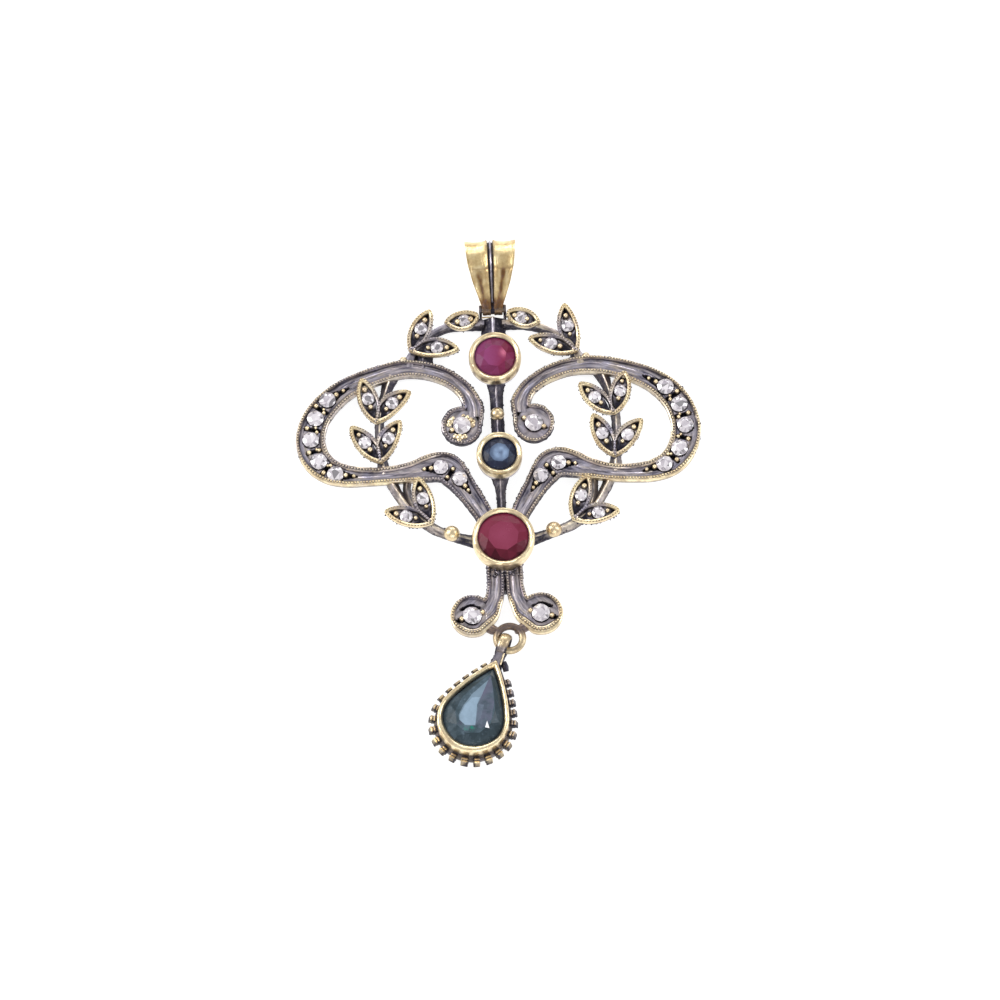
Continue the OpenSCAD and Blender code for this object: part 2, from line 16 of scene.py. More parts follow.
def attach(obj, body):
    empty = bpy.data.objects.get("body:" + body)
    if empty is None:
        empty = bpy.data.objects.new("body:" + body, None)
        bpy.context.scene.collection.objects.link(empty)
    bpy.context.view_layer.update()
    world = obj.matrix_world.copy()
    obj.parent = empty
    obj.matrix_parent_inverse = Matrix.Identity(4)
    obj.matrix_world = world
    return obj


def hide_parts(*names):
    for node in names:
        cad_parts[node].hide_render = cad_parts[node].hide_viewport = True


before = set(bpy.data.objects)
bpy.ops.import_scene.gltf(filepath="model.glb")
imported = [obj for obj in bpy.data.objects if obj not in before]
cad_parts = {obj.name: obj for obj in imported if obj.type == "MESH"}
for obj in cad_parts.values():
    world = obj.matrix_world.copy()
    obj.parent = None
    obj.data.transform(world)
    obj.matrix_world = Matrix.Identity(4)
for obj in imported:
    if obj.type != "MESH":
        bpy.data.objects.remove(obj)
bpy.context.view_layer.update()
rng = random.Random(7)

MM = 0.001
MIDDLE_Y = -5.8584

# Strips, leaves and collets, as in the part
STRIP_T, FRONT_T, OVERHANG, CHANNEL_D = 1.6, 0.8, 0.3, 0.35
EYE_R, FOOT_R, FOOT_BACK = 2.05, 2.2, 0.5
BAR_H = 1.35
LEAF_W, LEAF_TOP, LEAF_T, LEAF_D = 2.15, 1.9, 0.75, 0.4
COLLET_H, COLLET_WALL = 3.2, 0.48
COLLET_GIRDLE = COLLET_H - 0.45
SCROLL_D, ARM_D, LEAF_STONE_D, EYE_D, FOOT_D = 1.65, 1.5, 1.3, 1.8, 1.85
SCROLL_GIRDLE, LEAF_GIRDLE = STRIP_T - 0.12, LEAF_TOP - 0.28
LEAF_STONE_AT = 0.54

# Middle line of a scroll: across, along, half of the width, how much higher the left side is
SCROLL_PATH = [
    [2.35, 3.6, 0.95, -0.3], [2.45, 4.9, 0.98, -0.2], [3.1, 6.15, 0.86, 0], [4.2, 7.2, 0.84, 0.2],
    [5.6, 8.0, 0.87, 0.3], [7.35, 8.55, 0.88, 0.3], [9.3, 8.7, 0.93, 0.3], [11.45, 8.35, 0.97, 0.1],
    [13.6, 7.65, 1.04, 0], [15.4, 6.75, 1.17, -0.1], [16.95, 5.5, 1.3, -0.2], [18.2, 3.8, 1.4, -0.1],
    [18.8, 1.6, 1.48, 0.1], [18.35, -0.5, 1.45, 0.3], [17.15, -1.95, 1.33, 0.6],
    [15.4, -2.65, 1.12, 0.7], [13.3, -2.85, 0.93, 0.7], [11.0, -2.75, 0.9, 0.6],
    [8.8, -2.35, 1.1, 0.3], [7.3, -1.95, 1.4, 0.1], [6.1, -1.74, 1.55, 0], [5.1, -2.05, 1.56, 0],
    [4.3, -3.02, 1.4, 0], [3.58, -4.12, 1.2, 0], [2.97, -5.05, 1.1, 0], [2.1, -6.55, 1.0, 0],
    [1.55, -7.55, 0.95, 0],
]
SCROLL_EYE = (3.62, 2.52)
FOOT_PATH = [
    [2.5, -17.9, 1.15, 0], [1.65, -17.1, 1.0, 0], [1.1, -15.8, 0.92, 0], [0.95, -14.4, 0.87, 0],
    [0.95, -12.2, 0.87, 0],
]
FOOT_DISC = (3.43, -17.84)
TOP_ARC = [
    [8.6, 8.9, 0.75, 0.3], [8.25, 10.0, 0.6, 0.4], [7.4, 11.5, 0.48, 0.5], [6.1, 12.5, 0.42, 0.4],
    [4.6, 13.2, 0.45, 0.4], [3.0, 13.5, 0.5, 0.1], [0.9, 13.5, 0.5, 0],
]
INNER_STEM = [
    [10.5, 8.2, 0.8, 0.2], [11.1, 6.5, 0.5, 0.1], [11.8, 3.6, 0.48, 0], [11.8, 0.8, 0.45, 0.1],
    [11.65, -1.2, 0.55, 0.3], [11.6, -2.6, 0.95, 0.6],
]
LOWER_ARC = [
    [11.0, -3.1, 0.55, 0.6], [10.2, -4.7, 0.5, 0.6], [8.9, -6.6, 0.48, 0.5], [7.0, -8.1, 0.5, 0.2],
    [5.1, -8.95, 0.45, 0], [3.4, -9.5, 0.55, 0], [2.4, -9.7, 0.75, 0],
]
SHORT_BRANCH = [[9.3, -3.2, 0.42, 0.4], [9.35, -4.6, 0.36, 0.5], [8.8, -6.3, 0.36, 0.5]]
# Blocks and bars near the middle: across, along, half of the width
LEFT_BLOCK = [[7.15, 8.9, 1.0], [7.15, 10.6, 0.95]]
TOP_BLOCK = [[0, 14.05, 1.15], [0, 12.6, 1.22], [0, 11.2, 1.3]]
UPPER_BAR = [[0, 7.1, 0.95], [0, 6.1, 0.7], [0, 4.9, 0.66], [0, 2.0, 0.66], [0, 0.6, 0.7]]
LOWER_BAR = [[0, -2.9, 0.9], [0, -4.2, 0.54], [0, -5.4, 0.46], [0, -6.6, 0.5], [0, -7.6, 0.8]]
SIDE_BALL, MIDDLE_BALL = (5.1, -8.9, 1.15, 0.8), (0, 3.68, 1.2, 0.7)

# Leaves: foot, tip, bow of the middle line, and which long side lies against its neighbour
LEAVES = {
    -1: [
        [4.9, 13.6, 1.25, 14.2, 0.25, 0], [8.55, 10.55, 6.15, 15.15, 0, 1],
        [8.55, 10.55, 3.35, 10.6, -0.35, -1], [12.15, 2.9, 13.5, 8.1, 0, 1],
        [12.15, 2.9, 8.4, 6.4, -0.5, -1], [11.85, -1.35, 14.85, 2.95, 0.1, 1],
        [11.85, -1.35, 9.6, 3.4, -0.4, -1], [6.9, -8, 8.3, -2.7, -0.2, -1], [6.9, -8, 11.9, -6.35, 0.1, 1],
    ],
    1: [
        [4.75, 13.2, 1.25, 14.45, 0.1, 0], [8.35, 9.8, 7.2, 15.3, 0.3, 1],
        [8.35, 9.8, 3.3, 11.6, -0.1, -1], [11.7, 2.9, 13, 7.75, 0, 1], [11.7, 2.9, 8.2, 6.65, 0, -1],
        [11.5, -1.65, 14.6, 2.5, 0.3, 1], [11.5, -1.65, 9.45, 3.3, 0, -1], [7, -8.2, 8.8, -3.2, 0, -1],
        [7, -8.2, 11.95, -7.3, 0.25, 1],
    ],
}
# Diamonds of one side's strips: name, across, along, diameter, lift
STRIP_STONES = [
    ["eye", 3.62, 2.52, EYE_D, 0], ["scroll_1", 16.95, 5.82, SCROLL_D, 0],
    ["scroll_2", 18.22, 3.87, SCROLL_D, 0], ["scroll_3", 18.75, 1.61, SCROLL_D, 0],
    ["scroll_4", 18.05, -0.8, SCROLL_D, 0.1], ["scroll_5", 16.45, -2.3, SCROLL_D, 0.3],
    ["arm_1", 5.9, -1.85, ARM_D, 0], ["arm_2", 4.05, -3.15, ARM_D, 0], ["foot", 3.43, -17.84, FOOT_D, 0],
]
# Round collets: along, diameter of the stone
RUBY_TOP, SAPPHIRE, RUBY_MAIN = (9.19, 4.3), (-1.22, 3.66), (-10.14, 5.3)

PIN_Y, PIN_Z, PIN_D = 14.8, 1.5, 0.64
LUG_IN, LUG_W, LUG_R, LUG_ROOT = 1.06, 0.3, 0.46, 13.3
BAIL_T, BAIL_EYE_D, BAIL_EYE_W, FLUTE_D = 0.5, 1.2, 2.02, 0.2
# Bail's middle line round its opening: along, height, half of the width, part of the flutes' depth
BAIL_PATH = [
    [0, 0.36, 1, 0], [0.45, 0.66, 1.14, 0.8], [1.1, 1.1, 1.42, 1], [2.3, 1.75, 1.88, 1],
    [3.1, 2.15, 2.1, 1], [3.9, 2.45, 2.32, 1], [5.0, 2.55, 2.46, 1], [6.15, 2.15, 2.55, 1],
    [6.8, 1.2, 2.55, 1], [6.8, 0.2, 2.5, 1], [6.15, -0.7, 2.38, 1], [4.6, -1.1, 2.05, 1],
    [2.9, -1.12, 1.62, 1], [1.5, -1.0, 1.25, 1], [0.6, -0.7, 1.06, 0.8], [0, -0.36, 1, 0],
]

RING_X, RING_Y, RING_Z, RING_R, RING_WIRE_D = 0.18, -20.4, 1.3, 1.3, 0.74
HOOK_R, HOOK_T, HOOK_HALF, HOOK_AT, HOOK_FROM_RING = 1.05, 0.5, 0.55, 8.6, (-0.66, -0.77)
PEAR_R, PEAR_TIP, BEZEL_H, LEAN = 3.6, 6.6, 2.5, radians(23)
# Angle at which the pear's round end turns into its two side arcs, their radius and the right one's middle
PEAR_TURN = radians(24)
PEAR_SIDE_R = (PEAR_TIP**2 + PEAR_R**2 - 2 * PEAR_R * PEAR_TIP * sin(PEAR_TURN)) / (
    2 * (PEAR_R - PEAR_TIP * sin(PEAR_TURN))
)
PEAR_SIDE = ((PEAR_R - PEAR_SIDE_R) * cos(PEAR_TURN), (PEAR_R - PEAR_SIDE_R) * sin(PEAR_TURN))
PEAR_GIRDLE, PEAR_SEAT = 1.85, 0.42
DROP_X = RING_X + HOOK_FROM_RING[0] - HOOK_AT * sin(LEAN)
DROP_Y = RING_Y + HOOK_FROM_RING[1] - HOOK_AT * cos(LEAN)
TOOTH_PLACES, TOOTH_W, TOOTH_OUT, TOOTH_H, TOOTH_RISE = 25, 0.72, 0.88, 0.8, radians(18)

# Fineness of the meshes, where a strip's rim ends inside, and the milgrain's pitch
RIM_STEP, FLOOR_STEP, KNIFE_STEP, BAIL_STEP = 0.13, 0.1, 0.14, 0.13
FLOOR_IN, MILGRAIN = 0.37, 0.3
GOLD, DARK, COLUMNS = 3, 4, 8


def rise(low, high, x):
    """Smoothly from 0 at low to 1 at high."""
    t = np.clip((np.asarray(x, float) - low) / (high - low), 0, 1)
    return t * t * (3 - 2 * t)


def bell(x, middle, width):
    """1 at the middle, and next to nothing two widths away."""
    return np.exp(-(((x - middle) / width) ** 2))


def wave(x, y, scale, seed=0.0):
    """Smooth noise from -1 to 1 over arrays of places, with hills about scale mm apart."""
    x, y = np.broadcast_arrays(x / scale + seed, y / scale - seed)
    return np.reshape([noise.noise(Vector((a, b, seed))) for a, b in zip(x.ravel(), y.ravel())], x.shape)


def circle(count):
    """Angles of even steps once round."""
    return np.linspace(0, 2 * pi, count, endpoint=False)


def polar(r, a, x=0.0, y=0.0):
    """x and y of points at distances and angles from a middle."""
    return x + r * np.cos(a), y + r * np.sin(a)


def smooth(path, steps):
    """Rows between the rows of a path, on a smooth curve."""
    p = np.array(path, float)
    last = len(p) - 1
    rows = []
    for i in range(last):
        a, b, c, d = p[max(i - 1, 0)], p[i], p[i + 1], p[min(i + 2, last)]
        for k in range(steps):
            t = k / steps
            bend = (2 * a - 5 * b + 4 * c - d) * t**2 + (3 * b - a - 3 * c + d) * t**3
            rows.append(0.5 * (2 * b + (c - a) * t + bend))
    return np.array(rows + [p[last]])


def lifted(path, side):
    """A path as it is on one side, still drawn on the right."""
    p = np.array(path, float)
    p[:, 1] -= side * p[:, 3] / 2
    return p[:, :3]


def unit(v):
    return v / np.maximum(np.linalg.norm(v, axis=-1, keepdims=True), 1e-9)


def heading(points, closed=False):
    if closed:
        return unit(np.roll(points, -1, 0) - np.roll(points, 1, 0))
    return unit(np.gradient(points, axis=0))


def perp(v):
    return np.stack([-v[..., 1], v[..., 0]], -1)


def length_to(points):
    """Length of a line from its start to each of its points."""
    return np.concatenate([[0], np.cumsum(np.linalg.norm(np.diff(points, axis=0), axis=1))])


def even(points, step, closed=False):
    """The same line with points at even steps, measured in x and y. Further columns go along."""
    if closed:
        points = np.vstack([points, points[:1]])
    run = length_to(points[:, :2])
    at = np.linspace(0, run[-1], max(int(round(run[-1] / step)), 3) + 1)
    if closed:
        at = at[:-1]
    return np.stack([np.interp(at, run, column) for column in points.T], 1)


def edges(rows, inset=0.0):
    """Left and right edge of a strip."""
    out = perp(heading(rows[:, :2])) * (rows[:, 2:3] - inset)
    return rows[:, :2] + out, rows[:, :2] - out


def between(left, right, t):
    """x and y of rows of points from one line to another, at parts t of the way."""
    return np.moveaxis(left[:, None] * (1 - t[:, None]) + right[:, None] * t[:, None], -1, 0)


def spread(x, y, z, gold=0, dark=0, warm=0, u=0, v=0):
    """Puts places, tones and the drawn lines' way side by side as one array of points."""
    return np.stack([p.astype(float) for p in np.broadcast_arrays(x, y, z, gold, dark, warm, u, v)], -1)


def per_point(count, *values):
    """Each value as one column with a row for each point."""
    return [np.broadcast_to(np.asarray(v, float), (count,))[:, None] for v in values]


class Shape:
    """Points with their tones, and faces. Side -1 turns what is drawn on the right over to the left."""

    def __init__(self, side=1):
        self.side, self.data, self.faces, self.count = side, [], [], 0

    def add(self, data, faces):
        data = np.array(data, float).reshape(-1, COLUMNS)
        data[:, 0] *= self.side
        self.faces += [[int(i) + self.count for i in f[:: self.side]] for f in faces]
        self.data.append(data)
        self.count += len(data)

    def grid(self, data, wrap=False, loop=False):
        """Quads between rows of points. wrap joins the last column to the first, loop the last row."""
        data = np.array(data)
        i = np.arange(data[..., 0].size).reshape(data.shape[:2])
        i = np.pad(i, ((0, int(loop)), (0, int(wrap))), "wrap")
        quads = np.stack([i[:-1, :-1], i[1:, :-1], i[1:, 1:], i[:-1, 1:]], -1)
        self.add(data, quads.reshape(-1, 4).tolist())

    def cap(self, ring, turn=False):
        order = list(range(len(ring)))
        self.add(ring, [order[::-1] if turn else order])

    def tube(self, data):
        """Rings in a row, with a cap on both ends."""
        self.grid(data, wrap=True)
        self.cap(data[0])
        self.cap(data[-1], turn=True)

    def move(self, place):
        data = np.concatenate(self.data)
        data[:, :3] = place(data[:, :3])
        self.data = [data]


def placed(name, data):
    obj = bpy.data.objects.new(name, data)
    bpy.context.scene.collection.objects.link(obj)
    return obj


# ---------------------------------------------------------------- materials


class Nodes:
    """Short way to write a material's nodes."""

    def __init__(self, name):
        self.material = bpy.data.materials.new(name)
        self.material.use_nodes = True
        self.tree = self.material.node_tree
        self.here = self.node("TexCoord").outputs["Object"]

    def fill(self, node, values):
        for key, value in values.items():
            if isinstance(value, bpy.types.NodeSocket):
                self.tree.links.new(value, node.inputs[key])
            else:
                node.inputs[key].default_value = value

    def node(self, kind, values=None, **settings):
        made = self.tree.nodes.new("ShaderNode" + kind)
        for key, value in settings.items():
            setattr(made, key, value)
        self.fill(made, values or {})
        return made

    def shade(self, **values):
        """Fills the shader and gives the finished material."""
        shader = self.tree.nodes["Principled BSDF"]
        self.fill(shader, {key.replace("_", " "): value for key, value in values.items()})
        return self.material

    def attribute(self, name, output):
        return self.node("Attribute", attribute_name=name).outputs[output]

    def tones(self):
        return self.node("SeparateColor", {0: self.attribute("tone", "Color")}).outputs[:3]

    def math(self, operation, a, b, clamp=False):
        return self.node("Math", {0: a, 1: b}, operation=operation, use_clamp=clamp).outputs[0]

    def plus(self, a, b, clamp=False):
        return self.math("ADD", a, b, clamp)

    def times(self, a, b, clamp=False):
        return self.math("MULTIPLY", a, b, clamp)

    def spotted(self, value, spots, amount):
        """A value from 0 to 1, raised and lowered by noise."""
        return self.plus(value, self.times(self.math("SUBTRACT", spots, 0.5), amount), True)

    def mix(self, part, a, b):
        return self.node("Mix", {0: part, 6: a, 7: b}, data_type="RGBA").outputs[2]

    def ramp(self, value, low, high):
        return self.node("MapRange", {0: value, 1: low, 2: high}, clamp=True).outputs[0]

    def noise(self, where, scale, detail=3.0, roughness=0.55):
        values = {"Vector": where, "Scale": scale, "Detail": detail, "Roughness": roughness}
        return self.node("TexNoise", values).outputs[0]


def rgb(r, g, b):
    return (r, g, b, 1.0)


def metal_material(name, worn_gold=(1.0, 0.87, 0.58), deep_gold=(0.78, 0.60, 0.34)):
    """Darkened silver and worn gold. tone says how golden, dark and warm a place is."""
    m = Nodes(name)
    gold, dark, warm = m.tones()
    drawn = m.node("Mapping", {"Vector": m.attribute("way", "Vector"), "Scale": (0.5, 4.2, 1.0)}).outputs[0]
    lines = m.noise(drawn, 1.0, 4.0, 0.62)
    spots = m.noise(m.here, 900.0, 4.0, 0.6)
    fine = m.noise(m.here, 3500.0, 3.0, 0.6)
    broad = m.noise(m.here, 420.0, 3.0, 0.5)
    # Worn places show more gold. The dark tone brings in the dark oxide colour: oxide that the hollows keep,
    # and painted shade where a piece paints its darkness as shade
    gold_part = m.times(m.spotted(gold, spots, 0.9), m.ramp(gold, 0.0, 0.2), True)
    dark_part = m.times(m.spotted(dark, fine, 0.9), m.ramp(dark, 0.0, 0.15), True)
    hue = m.ramp(m.noise(m.here, 700.0, 2.0), 0.35, 0.65)
    tint = m.mix(hue, rgb(0.66, 0.63, 0.76), rgb(0.82, 0.73, 0.72))
    silver = m.mix(m.ramp(lines, 0.36, 0.62), rgb(0.10, 0.095, 0.135), tint)
    silver = m.mix(m.times(m.ramp(broad, 0.45, 0.7), 0.7), silver, rgb(0.50, 0.45, 0.49))
    silver = m.mix(m.times(m.ramp(spots, 0.62, 0.75), 0.6), silver, rgb(0.90, 0.84, 0.86))
    golden = m.mix(m.ramp(spots, 0.35, 0.65), rgb(*deep_gold), rgb(*worn_gold))
    golden = m.mix(warm, golden, rgb(0.30, 0.15, 0.05))
    oxide_and_shade = m.mix(m.ramp(fine, 0.4, 0.7), rgb(0.010, 0.010, 0.018), rgb(0.075, 0.07, 0.10))
    height = m.plus(m.times(lines, 0.8), m.plus(m.times(fine, 0.35), spots))
    return m.shade(
        Base_Color=m.mix(dark_part, m.mix(gold_part, silver, golden), oxide_and_shade),
        Metallic=1.0,
        Roughness=m.plus(m.plus(0.22, m.times(fine, 0.2)), m.times(dark_part, 0.25)),
        Normal=m.node("Bump", {"Strength": 0.5, "Distance": 0.00009, "Height": height}).outputs[0],
    )


def gem_material(
    name, colour, light, glint, flaws=500.0, gloss=0.04, rough=0.22, clear=0.08, ior=1.77, violet_and_green_glints=None
):
    """Cut stone. Facet by facet the tone mixes in the light colour, darkness and the glint's colour: painted
    light, shade and highlights.
    """
    m = Nodes(name)
    lighter, darker, shine = m.tones()
    clouds = m.noise(m.here, flaws, 4.0, 0.65)
    specks = m.noise(m.here, flaws * 4, 3.0, 0.7)
    base = m.mix(m.spotted(lighter, clouds, 0.8), colour, light)
    base = m.mix(m.times(m.ramp(specks, 0.58, 0.75), 0.3), base, light)
    base = m.mix(m.times(darker, 0.9), base, rgb(*(c * 0.12 for c in colour[:3])))
    base = m.mix(shine, base, glint)
    # Violet streaks, and green specks painted as glints
    if violet_and_green_glints:
        violet, green = m.node("SeparateXYZ", {0: m.attribute("way", "Vector")}).outputs[:2]
        base = m.mix(m.times(violet, m.ramp(clouds, 0.3, 0.6)), base, violet_and_green_glints[0])
        base = m.mix(m.times(green, m.ramp(specks, 0.42, 0.58)), base, violet_and_green_glints[1])
    return m.shade(
        Base_Color=base, IOR=ior, Specular_IOR_Level=gloss, Transmission_Weight=clear,
        Roughness=m.plus(rough, m.times(clouds, 0.08)),
    )


def floor_material():
    m = Nodes("studio_floor")
    pale = m.mix(m.noise(m.here, 40.0), rgb(0.40, 0.40, 0.40), rgb(0.43, 0.43, 0.43))
    return m.shade(Base_Color=pale, Roughness=0.9, Emission_Color=rgb(1, 1, 1), Emission_Strength=0.86)


METAL = metal_material("darkened_silver_and_gold")
BAIL_GOLD = metal_material("bail_gold", (0.97, 0.80, 0.46), (0.66, 0.46, 0.18))
RUBY_PINK = gem_material("ruby_pink", rgb(0.21, 0.018, 0.055), rgb(0.27, 0.06, 0.175), rgb(0.75, 0.22, 0.34))
RUBY_RED = gem_material("ruby_red", rgb(0.17, 0.018, 0.04), rgb(0.27, 0.048, 0.098), rgb(0.70, 0.18, 0.25))
BLUE = gem_material(
    "sapphire_blue", rgb(0.028, 0.034, 0.07), rgb(0.20, 0.30, 0.48), rgb(0.55, 0.68, 0.85), 1100.0, 0.07,
)
TEAL = gem_material(
    "sapphire_teal", rgb(0.060, 0.092, 0.112), rgb(0.32, 0.44, 0.56), rgb(0.98, 0.98, 1.0), 700.0, rough=0.15,
    violet_and_green_glints=(rgb(0.14, 0.13, 0.20), rgb(0.03, 0.20, 0.15)),
)
DIAMOND = gem_material(
    "diamond", rgb(0.38, 0.33, 0.39), rgb(1.0, 0.95, 0.98), rgb(1, 1, 1), 1500.0, 0.6, 0.03, 0.2, 2.2,
)


def piece(
    shape, name, material=METAL, nodes=("frame",), body="pendant", facets=False
):
    """A mesh object from a shape, on its body, in place of its CAD nodes. Facets keep every edge sharp."""
    data = np.concatenate(shape.data)
    co = data[:, :3].copy()
    co[:, 1] -= MIDDLE_Y
    mesh = bpy.data.meshes.new(name)
    mesh.from_pydata((co * MM).tolist(), [], shape.faces)
    tone = np.ones((len(data), 4))
    tone[:, :3] = np.clip(data[:, 3:6], 0, 1)
    way = np.zeros((len(data), 3))
    way[:, :2] = data[:, 6:8]
    mesh.attributes.new("tone", "FLOAT_COLOR", "POINT").data.foreach_set("color", tone.ravel())
    mesh.attributes.new("way", "FLOAT_VECTOR", "POINT").data.foreach_set("vector", way.ravel())
    if not facets:
        bm = bmesh.new()
        bm.from_mesh(mesh)
        bmesh.ops.recalc_face_normals(bm, faces=bm.faces)
        bm.to_mesh(mesh)
        bm.free()
    mesh.shade_smooth()
    mesh.set_sharp_from_angle(angle=radians(1 if facets else 40))
    mesh.materials.append(material)
    obj = placed(name, mesh)
    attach(obj, body)
    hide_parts(*nodes)


# ---------------------------------------------------------------- beads


def beads(shape, places, radius, gold, dark=0.0, low=0.35, sides=6, flat=1.0):
    """Small round grains, painted dark from the top down to the foot as shade. places are x, y, z of their
    middles.
    """
    places = np.array(places, float).reshape(-1, 3)
    count = len(places)
    radius, gold, dark = per_point(count, radius, gold, dark)
    # height, radius, darkness, which is painted shade
    levels = [(-low, 0.98, 0.9), (0.2, 0.95, 0.3), (0.75, 0.6, 0.0)]
    grain = [(*polar(r, a), z * flat, d) for z, r, d in levels for a in circle(sides)]
    grain = np.array(grain + [(0, 0, flat, 0)])
    ring = [(i, (i + 1) % sides) for i in range(sides)]
    faces = [[k + i, k + j, k + sides + j, k + sides + i] for k in (0, sides) for i, j in ring]
    faces += [[2 * sides + i, 2 * sides + j, 3 * sides] for i, j in ring]
    data = np.zeros((count, len(grain), COLUMNS))
    data[..., :3] = places[:, None] + grain[:, :3] * radius[..., None]
    data[..., GOLD] = gold
    data[..., DARK] = np.clip(grain[:, 3] + dark, 0, 1)
    shape.add(data, [[i * len(grain) + f for f in face] for i in range(count) for face in faces])


def crumbs(shape, line, outward, chance, z, size=0.08):
    """Dark ragged lumps along an edge: solder and oxide, and painted shade that darkens the edge's outline.
    """
    places, sizes = [], []
    for p, way, part in zip(line, outward, chance):
        if rng.random() < part:
            at = p - way * rng.uniform(0.2, 1.1) * size + perp(way) * rng.uniform(-0.05, 0.05)
            places.append((*at, z + rng.uniform(-0.2, 0.1)))
            sizes.append(size * rng.uniform(0.6, 1.4))
    if places:
        beads(shape, places, sizes, 0.0, 0.75, sides=5)


# ---------------------------------------------------------------- strips with a disc


def direction(v):
    return atan2(v[1], v[0])


def walk(rows, disc, disc_r):
    """Outline of a strip that starts in a disc, from its far left end round the disc to its far right end."""
    ends = []
    for edge in edges(rows):
        away = np.linalg.norm(edge - disc, axis=1)
        i = int(np.argmax(away > disc_r))
        t = (disc_r - away[i - 1]) / (away[i] - away[i - 1])
        ends.append((edge[i - 1] + (edge[i] - edge[i - 1]) * t, edge[i:]))
    start, stop = (direction(p - disc) for p, _ in ends)
    out = direction((ends[0][1][0] + ends[1][1][0]) / 2 - disc)
    turn = (stop - start) % (2 * pi)
    if (out - start) % (2 * pi) < turn:
        turn -= 2 * pi
    arc = np.stack(polar(disc_r, start + turn * np.arange(61) / 60, *disc), 1)
    line = even(np.vstack([ends[0][1][::-1], arc, ends[1][1]]), RIM_STEP)
    # The outer edge runs into the disc in one full curve
    joint = min((p for p, _ in ends), key=lambda p: p[0])
    away = np.linalg.norm(line - joint, axis=1)[:, None]
    soft = rise(2.0, 0.9, away)[1:-1]
    for _ in range(150):
        line[1:-1] += soft * 0.5 * ((line[:-2] + line[2:]) / 2 - line[1:-1])
    return line + unit(joint - disc) * 0.26 * rise(1.9, 0.2, away)


def recess(x, y, links):
    """How deep a place is in the cut-out round the stones, from 0 to 1. links are tapered capsules."""
    deep = np.zeros(np.shape(x))
    for (ax, ay, ar), (bx, by, br) in links:
        span = np.array([bx - ax, by - ay])
        t = np.clip(((x - ax) * span[0] + (y - ay) * span[1]) / max(np.dot(span, span), 1e-9), 0, 1)
        away = np.hypot(x - ax - t * span[0], y - ay - t * span[1])
        deep = np.maximum(deep, 1 - rise(-0.09, 0.05, away - (ar + (br - ar) * t)))
    return deep


